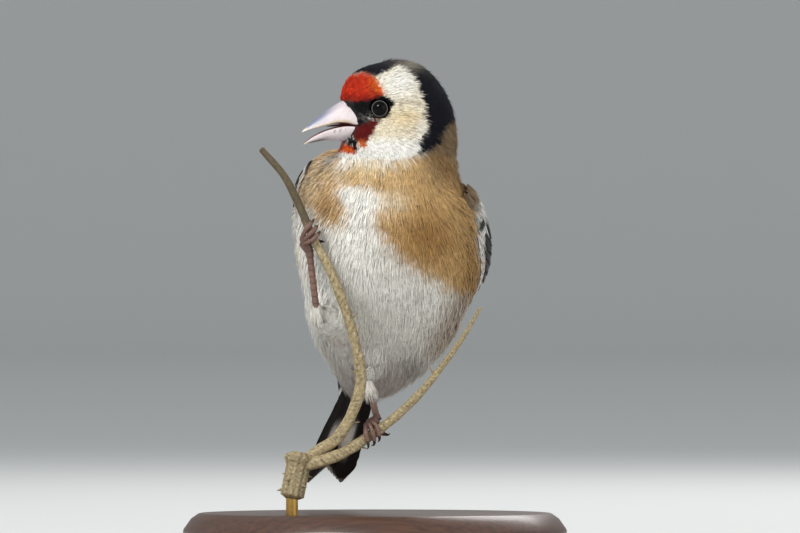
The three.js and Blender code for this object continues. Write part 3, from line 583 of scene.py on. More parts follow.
# Skin: the imported head, neck, torso and thighs as one body, drawn in by the depth of the coat
# shade darkens the plumage's colours on the skin: painted shade under the coat
skin = dict(nodes=("torso", "neck", "head", "thigh_right", "thigh_left"), merge=0.02, swell=0.35, voxel=0.5,
            rounds=10, bodyCoat=1.2, neckCoat=1.0, headCoat=0.7, faceCoat=0.45, thighCoat=0.7, billCoat=0.6,
            shade=0.82)
billBase = vec(0, -12.0, -1.8)


def eyeMiddle(side):
    low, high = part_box("eye_left" if side > 0 else "eye_right")
    return np.array((low + high) / 2) / mm


def onThigh(points, leg=None):
    inside = np.zeros(len(points), bool)
    for name in (leg,) if leg else ("right", "left"):
        low, high = (np.array(c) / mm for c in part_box("thigh_" + name))
        inside |= np.all((points > low - 0.5) & (points < high + 0.5), axis=1)
    return inside


def coatDepth(points):
    local = intoFrame(head, points)
    toHead = blendBetween(points[:, 2], 88, 102)
    toFace = blendBetween(-local[:, 1], 1, 9) * blendBetween(points[:, 2], 96, 100)
    depth = mix(skin["bodyCoat"], skin["neckCoat"], blendBetween(points[:, 2], 84, 94))
    depth = mix(depth, skin["headCoat"], toHead)
    depth = mix(depth, skin["faceCoat"], toFace)
    depth = depth + skin["billCoat"] * bump(local, (0, -12.6, -2.0), (6.5, 2.6, 5.2)) * (local[:, 2] < 1.6)
    return np.where(onThigh(points), np.minimum(depth, skin["thighCoat"]), depth)


def swollenCopy(node):
    # a solid's own mesh, merged, faced outward and swollen a little so that neighbours meet
    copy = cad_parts[node].copy()
    copy.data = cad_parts[node].data.copy()
    copy.parent = None
    for key in list(copy.keys()):
        del copy[key]
    bpy.context.scene.collection.objects.link(copy)
    bpy.ops.object.select_all(action="DESELECT")
    copy.select_set(True)
    bpy.context.view_layer.objects.active = copy
    facedOut(merge=skin["merge"] * mm)
    applied(copy, "DISPLACE", strength=skin["swell"] * mm, mid_level=0)
    return copy


def makeSkin():
    copies = [swollenCopy(node) for node in skin["nodes"]]
    for copy in copies:
        copy.select_set(True)
    bpy.context.view_layer.objects.active = copies[0]
    bpy.ops.object.join()
    body = bpy.context.object
    body.name = "skin"
    body.data.name = "skin"
    applied(body, "REMESH", mode="VOXEL", voxel_size=skin["voxel"] * mm)
    applied(body, "SMOOTH", iterations=skin["rounds"], factor=0.5)
    points, normals = readVertices(body.data)
    points -= normals * (coatDepth(points) + skin["swell"])[:, None]
    body.data.vertices.foreach_set("co", (points * mm).astype(np.float32).ravel())
    body.data.update()
    bpy.ops.object.shade_smooth()
    body.data.materials.clear()
    body.data.materials.append(finishes["skin"])
    # the skin takes the plumage's colours, darkened as painted shade in the gaps between blades
    storeMarking(body.data, markings(points) * skin["shade"])
    return placePiece(body, skin["nodes"])


skinPiece = makeSkin()
print("skin made:", len(skinPiece.data.polygons), "faces")


# Coat: tufts of thin blades rooted in the skin, that lie along it towards the tail
tufts = dict(
    face=dict(length=1.7, width=0.16, rise=0.32, perArea=26, blades=4, shade=0.14),
    head=dict(length=2.7, width=0.18, rise=0.5, perArea=23, blades=5, shade=0.09, stray=0.08),
    neck=dict(length=4.2, width=0.21, rise=0.7, perArea=17, blades=6, shade=0.12, stray=0.06),
    body=dict(length=5.8, width=0.24, rise=0.9, perArea=13, blades=7, shade=0.07, stray=0.05),
    thigh=dict(length=3.4, width=0.2, rise=0.7, perArea=18, blades=5),
)
coat = dict(
    pieces=["face", "crown", "throat", "breastRight", "breastLeft", "bellyRight", "bellyLeft",
            "mantle", "vent", "sideRight", "sideLeft"],
    roots=30, mostBlades=19500, patch=0.0013, lap=1.9,
    bare=dict(shares=(0.16, 0.88), heights=(-52, 2), depth=-4, eye=0.45, billBack=-10.0, billHalf=3.6,
              billTop=2.8, billLow=-6.4, tailFrom=12, tailHalf=0.6),
    neckFrom=86, throatFrom=87, faceFrom=97, headFrom=97.5, crownFrom=99.5, faceBack=-3.5,
    breastFrom=68, ventTo=46, middle=3.5, mantleFrom=4.5,
)


def skinArrays():
    mesh = skinPiece.data
    mesh.calc_loop_triangles()
    faces = np.zeros(len(mesh.loop_triangles) * 3, np.int32)
    mesh.loop_triangles.foreach_get("vertices", faces)
    return *readVertices(mesh), faces.reshape(-1, 3)


skinPoints, skinNormals, skinFaces = skinArrays()
skinTree = BVHTree.FromPolygons([Vector(p) for p in skinPoints], [tuple(f) for f in skinFaces.tolist()])


def ontoSkin(points):
    # the nearest skin to each point, and its normal there, read from the corners of the face it lands on
    spots, faces = np.zeros_like(points), np.zeros(len(points), int)
    for i, p in enumerate(points):
        spot, _, face, _ = skinTree.find_nearest(Vector(p))
        spots[i], faces[i] = spot, face
    corners = skinPoints[skinFaces[faces]]
    weight = 1 / (np.linalg.norm(corners - spots[:, None], axis=2) + 0.02)
    normals = (skinNormals[skinFaces[faces]] * weight[..., None]).sum(axis=1)
    return spots, unit(normals)


def unwrapSkin(points):
    # round the bird and up it: a cylinder about a line from the tail's root through the head
    height = points[:, 2]
    middleX = np.interp(height, [30, 48, 75, 95, 122], [-2, 0.5, 3.8, 5.4, 5.4])
    middleY = np.interp(height, [30, 48, 75, 95, 122], [6, 0, -15, -23, -24.5])
    turn = np.arctan2(points[:, 0] - middleX, middleY - points[:, 1]) / (2 * np.pi) + 0.5
    return np.stack([0.02 + 0.96 * turn, 0.02 + 0.96 * np.clip((height - 25) / 100, 0, 1)], axis=1)


def lieOfCoat(points, normals):
    local = intoFrame(head, points)
    fromBill = unit(local - billBase) + vec(0, 0.25, -0.22)
    onHead = fromBill @ head["turn"].T
    down = -torso["turn"][:, 2]
    inward = unit(outOfFrame(tail, vec(0, -4, 4)) - points)
    onBody = unit(down + 0.55 * inward * blendBetween(78 - points[:, 2], 0, 30)[:, None])
    way = mix(onBody, unit(onHead), blendBetween(points[:, 2], 93, 102))
    for name, leg in legs.items():
        toHeel = leg["heel"] - points
        close = onThigh(points, name) * blendBetween(14 - np.linalg.norm(toHeel, axis=1), 0, 6)
        way = mix(way, unit(toHeel), close * 0.8)
    return unit(way - normals * (way * normals).sum(axis=1, keepdims=True))


def wingPlace(points):
    # where a point of the body lies under a folded wing: its place in the back's frame, and its share
    # of the way from the leading edge to the inner edge, less than 0 in front of the wing
    local = intoFrame(back, points)
    angle = np.degrees(np.arctan2(np.abs(local[:, 0]), local[:, 1]))
    leading, inner = (np.interp(local[:, 2], *wingEdges[edge]) for edge in ("leading", "inner"))
    return local, (leading - angle) / (leading - inner)


def underWing(points):
    local, share = wingPlace(points)
    shares, heights = coat["bare"]["shares"], coat["bare"]["heights"]
    beside = (share > shares[0]) & (share < shares[1]) & (local[:, 1] > coat["bare"]["depth"])
    return beside & (local[:, 2] > heights[0]) & (local[:, 2] < heights[1])


def lapping(points):
    # 1 where the breast's feathers lap over the front edge of a folded wing
    local, share = wingPlace(points)
    z = local[:, 2]
    return np.exp(-(((share + 0.06) / 0.13) ** 2)) * blendBetween(z, -36, -24) * blendBetween(13 - z, 0, 6)


def rootsOnSkin():
    corners = skinPoints[skinFaces]
    areas = np.linalg.norm(np.cross(corners[:, 1] - corners[:, 0], corners[:, 2] - corners[:, 0]), axis=1) / 2
    total = areas.sum()
    count = int(total * coat["roots"])
    pick = rng.choice(len(areas), count, p=areas / total)
    r = np.sqrt(rng.random((count, 1)))
    s = rng.random((count, 1))
    weights = np.concatenate([1 - r, r * (1 - s), r * s], axis=1)
    points = (corners[pick] * weights[..., None]).sum(axis=1)
    normals = unit((skinNormals[skinFaces[pick]] * weights[..., None]).sum(axis=1))
    keep = ~underWing(points)
    for side in (1, -1):
        keep &= np.linalg.norm(points - eyeMiddle(side), axis=1) > eyeRadius + coat["bare"]["eye"]
    local = intoFrame(head, points)
    bare = coat["bare"]
    inBill = (local[:, 1] < bare["billBack"]) & (np.abs(local[:, 0]) < bare["billHalf"])
    keep &= ~(inBill & (local[:, 2] < bare["billTop"]) & (local[:, 2] > bare["billLow"]))
    inTail = intoFrame(tail, points)
    keep &= ~((inTail[:, 2] > bare["tailFrom"]) & (np.abs(inTail[:, 1]) < bare["tailHalf"]))
    return points[keep], normals[keep]


def regionOf(points):
    # which kind of tuft grows at each root
    names = np.full(len(points), "body", dtype=object)
    names[points[:, 2] > coat["neckFrom"]] = "neck"
    names[points[:, 2] > coat["headFrom"]] = "head"
    names[onFace(points)] = "face"
    names[onThigh(points)] = "thigh"
    return names


def onFace(points):
    return (points[:, 2] > coat["faceFrom"]) & (intoFrame(head, points)[:, 1] < coat["faceBack"])


def pieceOf(points):
    # which piece of the coat a root belongs to
    z, left = points[:, 2], points[:, 0] > coat["middle"]
    names = np.where(left, "bellyLeft", "bellyRight").astype(object)
    breast = np.where(left, "breastLeft", "breastRight")
    names = np.where(z > coat["breastFrom"], breast, names).astype(object)
    names[intoFrame(torso, points)[:, 1] > coat["mantleFrom"]] = "mantle"
    names[z < coat["ventTo"]] = "vent"
    names[z > coat["throatFrom"]] = "throat"
    names[z > coat["crownFrom"]] = "crown"
    names[onFace(points)] = "face"
    return names


def growBlades(spec, p, n, way, tip, tipNormal, tint=None, stand=0.0):
    # a tuft at each root, of blades that fan a little; each blade is a closed sliver of ten triangles
    count, b = len(p), spec["blades"]
    side = np.cross(way, n)
    lateral = np.linspace(-1, 1, b)[None, :, None] + rng.normal(0, 0.25, (count, b, 1))
    reach = rng.uniform(0.7, 1.1, (count, b, 1))
    stand = np.broadcast_to(stand, count)[:, None, None]
    spread = spec["width"] * b * 0.42
    root = p[:, None] + side[:, None] * lateral * spread - n[:, None] * 0.12
    end = p[:, None] + (tip - p)[:, None] * reach + side[:, None] * lateral * spread * 1.4
    stray = 1 + 1.1 * (rng.random((count, b, 1)) < spec.get("stray", 0.04))
    lift = spec["rise"] * rng.uniform(0.4, 1.0, (count, b, 1)) * stray + stand
    end = end + tipNormal[:, None] * lift
    middle = root * 0.45 + end * 0.55 + n[:, None] * (spec["rise"] * 0.25 + stand * 0.35)
    ahead = unit(end - root)
    across = unit(np.cross(ahead, np.broadcast_to(n[:, None], ahead.shape)))
    up = np.cross(across, ahead)
    half = spec["width"] * 0.5 * rng.uniform(0.75, 1.25, (count, b, 1))
    thick = half * 0.5
    verts = np.stack([root - across * half * 0.8, root + across * half * 0.8, root + up * thick,
                      middle - across * half, middle + across * half, middle + up * thick, end], axis=2)
    soft = unit(n * 0.35 + tipNormal * 0.65)[:, None, None]
    lean = np.array([-0.4, 0.4, 0, -0.4, 0.4, 0, 0])[:, None]
    facing = unit(soft + across[:, :, None] * lean + ahead[:, :, None] * 0.12)
    colour = markings(p + (tip - p) * 0.7) if tint is None else tint
    shade = rng.normal(1, 0.035, (count, 1)) * rng.normal(1, spec.get("shade", 0.045), (count, b))
    colour = colour[:, None, None] * np.clip(shade, 0.7, 1.2)[..., None, None]
    # each blade is darker at its root and lighter along its upper ridge and at its tip: painted shade under
    # the coat and painted light on the blade's top
    colour = colour * np.array([0.8, 0.8, 0.86, 0.97, 0.97, 1.0, 1.04])[:, None]
    return (verts.reshape(-1, 7, 3), np.clip(colour, 0, 1).reshape(-1, 7, 3), facing.reshape(-1, 7, 3),
            np.repeat(unwrapSkin(p), b, axis=0))


def coverSkin():
    points, normals = rootsOnSkin()
    kinds = regionOf(points)
    lie = lieOfCoat(points, normals)
    grown, names = [], []
    for kind, spec in tufts.items():
        chosen = np.nonzero(kinds == kind)[0]
        chosen = chosen[rng.random(len(chosen)) < spec["perArea"] / spec["blades"] / coat["roots"]]
        p, n, way = points[chosen], normals[chosen], lie[chosen]
        belly = blendBetween(66 - p[:, 2], 0, 14) * (kind == "body")
        length = spec["length"] * rng.uniform(0.75, 1.2, len(chosen)) * (1 + 0.25 * belly)
        lap = lapping(p) * (kind in ("body", "neck"))
        away = back["turn"][:, 1] * 0.35 + np.sign(wingPlace(p)[0][:, :1]) * back["turn"][:, 0] * 0.25
        way = unit(way + away * lap[:, None] + np.cross(way, n) * rng.normal(0, 0.12, (len(chosen), 1)))
        tip, tipNormal = ontoSkin(p + way * (length * (1 + 0.25 * lap))[:, None])
        grown.append(growBlades(spec, p, n, way, tip, tipNormal, stand=coat["lap"] * lap))
        names.append(np.repeat(pieceOf(p), spec["blades"]))
    return grown, names


bladeFaces = np.array([[0, 1, 2], [0, 4, 1], [0, 3, 4], [1, 5, 2], [1, 4, 5], [2, 3, 0], [2, 5, 3],
                       [3, 6, 4], [4, 6, 5], [5, 6, 3]])
bladePatch = np.array([[-1, -1], [1, -1], [0, -1], [-1, 0], [1, 0], [0, 0], [0, 1]]) * coat["patch"]


def writeBlades(name, blades):
    verts, colours, facing, uvs = blades
    count = len(verts)
    faces = (bladeFaces[None] + 7 * np.arange(count)[:, None, None]).reshape(-1, 3)
    uv = (uvs[:, None] + bladePatch[None]).reshape(-1, 2)[faces.ravel()]
    piece = meshPiece(name, verts.reshape(-1, 3), faces, finishes["coat"], colours.reshape(-1, 3), uv)
    piece.data.normals_split_custom_set_from_vertices(facing.reshape(-1, 3))
    return count * len(bladeFaces)


# Eyes and their bare lids
eyes = dict(ring=1.88, lid=0.13, ahead=1.12, around=64, section=10, pupil=seen(5, 3, 3))


def eyeMaterial():
    material, _, shader = newMaterial("darkEye", 0.04, IOR=1.22)
    shader.inputs["Base Color"].default_value = (*eyes["pupil"], 1)
    return material


def makeLid(name, at, out):
    # a beaded ring of bare skin round the eye
    around, section = eyes["around"], eyes["section"]
    a = np.linspace(0, 2 * np.pi, around + 1)[:-1]
    one = unit(np.cross(out, vec(0, 0, 1)))
    two = np.cross(out, one)
    middle = at + out * eyes["ahead"]
    path = middle + eyes["ring"] * (np.cos(a)[:, None] * one + np.sin(a)[:, None] * two)
    b = np.linspace(0, 2 * np.pi, section, endpoint=False)
    beads = eyes["lid"] * (1 + 0.16 * np.sin(a * 20))
    outward = unit(path - middle)
    ring = (path[:, None] + outward[:, None] * (np.cos(b) * beads[:, None])[..., None]
            + out * (np.sin(b) * beads[:, None] * 0.8)[..., None])
    i, j = np.meshgrid(np.arange(around), np.arange(section), indexing="ij")
    k, l = (i + 1) % around, (j + 1) % section
    quads = np.stack([i * section + j, k * section + j, k * section + l, i * section + l],
                     axis=-1).reshape(-1, 4)
    meshPiece("lid_" + name, ring.reshape(-1, 3), quads, finishes["lid"])


def makeEyes():
    dark = eyeMaterial()
    for name, side in (("left", 1), ("right", -1)):
        at = eyeMiddle(side)
        out = unit(head["turn"] @ vec(side, -0.42, 0.05))
        bpy.ops.mesh.primitive_uv_sphere_add(segments=48, ring_count=24, radius=eyeRadius * mm,
                                             location=at * mm)
        ball = bpy.context.object
        ball.name = "eye_ball_" + name
        bpy.ops.object.transform_apply(location=True, rotation=True, scale=True)
        bpy.ops.object.shade_smooth()
        ball.data.materials.append(dark)
        placePiece(ball, ("eye_" + name,))
        makeLid(name, at, out)


makeEyes()


# Bill: stations in the head's frame, each the distance back, the biting edge, the ridge or keel
# and half the width
bill = dict(
    upper=[(-6.5, -3.3, 4.4, 4.6), (-10.2, -3.4, 4.2, 4.4), (-13.8, -2.3, 3.1, 3.8),
           (-16.5, -2.1, 1.8, 3.1), (-19.1, -2.6, 0.35, 2.3), (-22.0, -3.2, -1.55, 1.35),
           (-24.2, -3.8, -3.2, 0.6), (-25.0, -4.1, -4.0, 0.12)],
    lower=[(-6.5, -3.9, -6.5, 3.9), (-10.4, -3.8, -6.6, 3.7), (-14.6, -3.5, -6.95, 3.1),
           (-18.7, -4.1, -6.5, 2.2), (-22.0, -5.3, -6.75, 1.2), (-23.9, -6.4, -7.0, 0.55),
           (-24.7, -6.95, -7.1, 0.12)],
    tongue=[(-9.0, -2.9, -3.35, 1.5), (-13.0, -2.7, -3.2, 1.4), (-16.5, -2.75, -3.2, 1.0),
            (-18.4, -2.95, -3.1, 0.3)],
    horn=seen(222, 208, 208), slate=seen(118, 124, 146), edge=seen(214, 192, 150), tip=seen(224, 214, 188),
    under=seen(62, 54, 58), inside=seen(122, 54, 50), nostril=seen(70, 56, 54),
    nostrilAt=vec(2.7, -13.0, 1.7), sides=40, rings=44,
)


def billColours(kind, local, rise, y):
    colour = np.tile(bill["horn"], (len(local), 1))
    forward = blendBetween(-y, 13, 22)
    if kind == "upper":
        ridge = blendBetween(rise, 0.62, 0.95)
        colour = mix(colour, bill["slate"], ridge * (0.25 + 0.75 * forward))
        flank = blendBetween(-y, 15.5, 21.5) * blendBetween(rise, 0.12, 0.62)
        colour = mix(colour, bill["slate"], flank * 0.85)
        cutting = blendBetween(0.16 - rise, 0, 0.14) * blendBetween(-y, 11, 15)
        colour = mix(colour, bill["edge"], cutting * 0.8)
        for side in (1, -1):
            at = bill["nostrilAt"] * vec(side, 1, 1)
            colour = mix(colour, bill["nostril"], bump(local, at, (0.9, 0.55, 0.4)) * 0.9)
    else:
        colour = mix(colour, bill["slate"], blendBetween(rise, 0.35, 0.9) * 0.5)
        colour = mix(colour, bill["under"], blendBetween(rise, 0.5, 0.9) * blendBetween(-y, 17.5, 21) * 0.9)
        fleck = np.sin(local[:, 1] * 9) * np.sin(local[:, 1] * 4.3 + 1) > 0.45
        fleck = fleck * bump(local[:, 1:2], [-16.8], [2.2])
        colour = mix(colour, bill["under"], fleck * bump(rise[:, None], [0.22], [0.1]) * 0.75)
    colour = mix(colour, bill["tip"], blendBetween(-y, 23.2, 24.8))
    return mix(colour, bill["inside"], blendBetween(-rise, 0.02, 0.07))


def makeBill():
    nodes = dict(upper="bill_upper", lower="bill_lower", tongue="tongue")
    sides, rings = bill["sides"], bill["rings"]
    a = np.linspace(0, 2 * np.pi, sides, endpoint=False)
    for kind, node in nodes.items():
        fine = smoothCurve(bill[kind], rings)
        y, edge, ridge, width = (fine[:, k][:, None] for k in range(4))
        t = np.sin(a)[None]
        rise = np.where(t > 0, np.abs(t) ** 0.9, 0.1 * t)
        x = width * np.cos(a) * (1 - 0.14 * np.abs(t))
        z = edge + (ridge - edge) * rise
        local = np.stack([x, np.repeat(y, sides, axis=1), z], axis=-1)
        if kind == "upper":
            for side in (1, -1):
                pit = bump(local, bill["nostrilAt"] * vec(side, 1, 1), (1.2, 0.5, 0.35))
                local[..., 0] -= side * 0.45 * pit
        flat = local.reshape(-1, 3)
        shade = billColours(kind, flat, np.tile(rise.ravel(), rings), np.repeat(y.ravel(), sides))
        if kind == "tongue":
            shade[:] = bill["inside"]
        ends = np.stack([local[0].mean(axis=0), local[-1].mean(axis=0)])
        points = outOfFrame(head, np.concatenate([flat, ends]))
        faces = closedRings(rings, sides)
        if kind != "upper":
            faces = faces[:, ::-1]
        shade = np.concatenate([shade, shade[:1], shade[-1:]])
        meshPiece("horny_" + kind, points, faces, finishes["bill"], shade, replaces=(node,))


makeBill()
print("eyes and bill made")


# Wings: feathers lie on a bed of the body's own masses, placed by height on the back's frame
# and by their share of the way from the leading edge, 0, to the inner edge beside the midline, 1
def mass(place, at, size, tilt=0):
    return dict(at=outOfFrame(place, vec(*at)), turn=place["turn"] @ turned(("X", tilt)), size=vec(*size))


wing = dict(
    bed=[mass(torso, (0, -1.5, 8), (23.2, 20, 22)), mass(torso, (-1.6, -1.8, -9), (19, 17, 21.5)),
         mass(torso, (0, 5, 8), (17.5, 14, 23)), mass(torso, (-1.5, -0.5, 22), (19.5, 15, 12.5)),
         mass(torso, (11.7, 3, 15), (8.2, 10, 12.5)), mass(torso, (-13, 3, 15), (8.2, 10, 12.5)),
         mass(rump, (-1.5, 2, -23), (11.5, 10.5, 15)), mass(back, (0, 1, -wingRun), (8.4, 4.6, 34))],
    blend=5, reach=46,
    armRows=[-26, -22, -17, -11, -5, 1, 5], armReach=[0.92, 0.92, 0.88, 0.8, 0.72, 0.62, 0.45],
    armRise=[0.9, 1.1, 1.3, 1.4, 1.3, 1.0, 0.4],
    thick=0.2, shape=([0, 0.35, 0.7, 0.9, 1], [0.7, 1, 1, 0.8, 0.3]),
)


def bedDistance(points):
    whole = np.full(len(points), 1e3)
    for one in wing["bed"]:
        a = ((points - one["at"]) @ one["turn"]) / one["size"]
        k0 = np.linalg.norm(a, axis=1)
        each = k0 * (k0 - 1) / np.maximum(np.linalg.norm(a / one["size"], axis=1), 1e-9)
        h = np.maximum(wing["blend"] - np.abs(whole - each), 0) / wing["blend"]
        whole = np.minimum(whole, each) - h * h * wing["blend"] / 4
    return whole


def wingPoints(side, z, share, lift):
    shape = np.shape(z)
    z, share, lift = (np.broadcast_to(v, shape).ravel() for v in (z, share, lift))
    angle = np.radians(mix(np.interp(z, *wingEdges["leading"]), np.interp(z, *wingEdges["inner"]), share))
    centre = outOfFrame(back, np.stack([0 * z, 0 * z + 0.5, z], axis=1))
    out = np.stack([side * np.sin(angle), np.cos(angle), 0 * angle], axis=1) @ back["turn"].T
    r = np.full(len(z), float(wing["reach"]))
    for _ in range(60):
        r = np.clip(r - 0.9 * (bedDistance(centre + out * r[:, None]) - lift), 1.0, wing["reach"])
    return (centre + out * r[:, None]).reshape(*shape, 3), out.reshape(*shape, 3)


def armTop(z, share):
    reach = np.interp(z, wing["armRows"], wing["armReach"])
    rise = np.interp(z, wing["armRows"], wing["armRise"])
    over = np.clip(share / reach, 0, 1)
    return 0.85 + rise * np.interp(over, [0, 0.16, 0.4, 0.65, 0.86, 1], [0.25, 0.85, 1, 1, 0.8, 0.2])


def slab(top, bottom, shade):
    # a closed sheet between two grids of points
    rows, cols = top.shape[:2]
    n = rows * cols
    i, j = np.meshgrid(np.arange(rows - 1), np.arange(cols - 1), indexing="ij")
    a, b, c, d = i * cols + j, i * cols + j + 1, (i + 1) * cols + j + 1, (i + 1) * cols + j
    over = np.concatenate([np.stack([a, b, c], -1).reshape(-1, 3), np.stack([a, c, d], -1).reshape(-1, 3)])
    rim = np.concatenate([np.arange(cols - 1), (np.arange(rows - 1)) * cols + cols - 1,
                          (rows - 1) * cols + np.arange(cols - 1, 0, -1), np.arange(rows - 1, 0, -1) * cols])
    after = np.roll(rim, -1)
    edge = np.concatenate([np.stack([rim, n + after, after], -1), np.stack([rim, n + rim, n + after], -1)])
    points = np.concatenate([top.reshape(-1, 3), bottom.reshape(-1, 3)])
    faces = np.concatenate([over, over[:, ::-1] + n, edge])
    middle = points[:n].mean(axis=0) - points[n:].mean(axis=0)
    first = np.cross(points[over[:, 1]] - points[over[:, 0]],
                     points[over[:, 2]] - points[over[:, 0]]).sum(axis=0)
    if first.dot(middle) < 0:
        faces = faces[:, ::-1]
    # the lower sheet takes the top's colours at 0.8: painted shade under each feather
    return points, faces, np.concatenate([shade.reshape(-1, 3), shade.reshape(-1, 3) * 0.8])


def barbs(s, t, strength=0.09):
    # fine slanting lines on both webs of a vane, and its shaft
    fine, broad = np.sin(110 * s - 16 * np.abs(t)), np.sin(47 * s - 9 * np.abs(t) + 2)
    lines = 1 + strength * fine + 0.5 * strength * broad
    shaft = np.exp(-((t / 0.09) ** 2))
    return lines * (1 - 0.3 * shaft)


def wingVane(side, spec, colourOf, rows=16, cols=9):
    s, t = np.meshgrid(np.linspace(0, 1, rows), np.linspace(-1, 1, cols), indexing="ij")
    rounding = spec.get("round", 0.06)
    run = s - rounding * t ** 2 * s ** 2 + rng.normal(0, 0.004, s.shape) * (s > 0.9)
    z = mix(spec["z"][0], spec["z"][1], run)
    half = mix(spec["width"][0], spec["width"][1], s) / 2 * np.interp(s, *spec.get("shape", wing["shape"]))
    ragged = 1 + rng.normal(0, 0.025, s.shape) * (np.abs(t) > 0.9)
    share = mix(spec["share"][0], spec["share"][1], s) + t * half * ragged
    share = np.clip(share, spec.get("least", -0.04), spec.get("most", 1.02))
    if "over" in spec:
        lift = armTop(z, np.clip(share, 0, 1)) + mix(spec["over"][0], spec["over"][1], s)
    else:
        lift = mix(spec["lift"][0], spec["lift"][1], s)
    tilt = spec.get("tilt", 0.4)
    lift = lift - tilt * t / 2 + 0.12 * (1 - t ** 2) + 0.08 * np.exp(-((t / 0.12) ** 2))
    top, out = wingPoints(side, z, share, lift + wing["thick"])
    bottom = top - out * (wing["thick"] * (1 - 0.6 * np.abs(t) ** 3))[..., None]
    shade = np.clip(colourOf(s, t, z) * barbs(s, t)[..., None], 0, 1)
    return slab(top, bottom, shade)


def spread(colour, shape):
    return np.broadcast_to(np.asarray(colour, float), (*shape, 3)).copy()


def primaryColours(i):
    def colourOf(s, t, z):
        colour = spread(plumage["black"], s.shape)
        colour = mix(colour, plumage["brownBlack"], blendBetween(t, 0.0, 1.0) * 0.4)
        end = -40.0 - 0.7 * i
        colour = mix(colour, plumage["yellow"],
                     blendBetween(z, end - 0.8, end + 0.8) * blendBetween(0.5 - t, 0, 0.25))
        return mix(colour, plumage["white"], blendBetween(s, 0.935, 0.965)
                   * blendBetween(np.abs(t), 1.3, 0.6))
    return colourOf


def secondaryColours(s, t, z):
    colour = spread(plumage["black"], s.shape)
    colour = mix(colour, plumage["yellow"], blendBetween(z, -40.2, -38.8) * blendBetween(0.6 - t, 0, 0.25))
    return mix(colour, plumage["white"], blendBetween(s, 0.86, 0.92) * blendBetween(0.5 - t, 0, 0.6))


def tertialColours(s, t, z):
    colour = spread(plumage["black"], s.shape)
    colour = mix(colour, plumage["mantle"], blendBetween(np.abs(t), 0.75, 1.0) * 0.5)
    return mix(colour, plumage["white"], blendBetween(s + 0.08 * np.abs(t), 0.84, 0.9))


def yellowCovert(s, t, z):
    colour = spread(plumage["yellow"], s.shape)
    colour = mix(colour, plumage["black"], blendBetween(0.42 - s, 0, 0.1))
    return colour * (0.9 + 0.15 * blendBetween(s, 0.4, 1))[..., None]


def darkCovert(fringe, amount):
    def colourOf(s, t, z):
        colour = spread(plumage["black"] * 1.2, s.shape)
        return mix(colour, fringe, blendBetween(s + 0.25 * t ** 2, 0.78, 1.0) * amount)
    return colourOf


def scapularColours(s, t, z):
    colour = spread(plumage["mantle"], s.shape)
    colour = mix(colour, plumage["nape"], blendBetween(s + 0.2 * np.abs(t), 0.7, 1.05) * 0.7)
    return mix(colour, plumage["tanDark"] * 0.6, np.exp(-((t / 0.2) ** 2)) * 0.5)


def marginColours(s, t, z):
    colour = spread(plumage["greyWhite"] * 1.05, s.shape)
    colour = mix(colour, plumage["black"] * 2, blendBetween(0.34 - s, 0, 0.2))
    return mix(colour, plumage["white"], blendBetween(s, 0.65, 1.0))


def armPad(side):
    z, share = np.meshgrid(np.linspace(1, -26, 18), np.linspace(0.0, 1, 16), indexing="ij")
    share = share * np.interp(z, wing["armRows"], wing["armReach"])
    top, _ = wingPoints(side, z, share, armTop(z, share))
    bottom, _ = wingPoints(side, z, share, 0.3 + 0 * z)
    shade = mix(spread(plumage["black"], z.shape), plumage["greyWhite"] * 0.7,
                blendBetween(0.1 - share, 0, 0.04))
    return slab(top, bottom, shade)


# The shape of short feathers on the arm, the margin and the shoulder
small = dict(tilt=0.25, round=0.22, shape=([0, 0.4, 0.75, 0.93, 1], [0.7, 1, 0.95, 0.7, 0.25]))


def addFlight(add):
    # eight primaries, six secondaries, three tertials and the four long coverts at the wing's edge
    for i in range(8):
        f = i * 5 / 7
        add(dict(z=(-27, -75.0 + 3.8 * f + (1.2 if i == 0 else 0)), share=(0.09 + 0.055 * f, 0.58 + 0.03 * f),
                 width=(0.16, 0.62), lift=(0.75 + 0.1 * f, 0.75 + 0.17 * f),
                 shape=([0, 0.3, 0.6, 0.85, 0.95, 1], [0.8, 1, 0.8, 0.5, 0.34, 0.12])), primaryColours(i), 26)
    for i in range(6):
        f = i * 3 / 5
        add(dict(z=(-25, -50.5 + 1.4 * f), share=(0.4 + 0.11 * f, 0.56 + 0.11 * f), width=(0.2, 0.3),
                 lift=(1.2 + 0.12 * f, 1.5 + 0.2 * f)), secondaryColours, 20)
    for i in range(3):
        add(dict(z=(-18, -46 + 5 * i), share=(0.76 + 0.08 * i, 0.86 + 0.04 * i), width=(0.26, 0.34),
                 lift=(1.6 + 0.12 * i, 2.2 + 0.25 * i), round=0.1), tertialColours, 18)
    for i in range(4):
        add(dict(z=(-20, -38 + 1.8 * i), share=(0.04 + 0.03 * i, 0.06 + 0.045 * i), width=(0.1, 0.11),
                 lift=(1.45, 1.5 + 0.1 * i)), darkCovert(plumage["mantle"], 0.3), 12, 7)


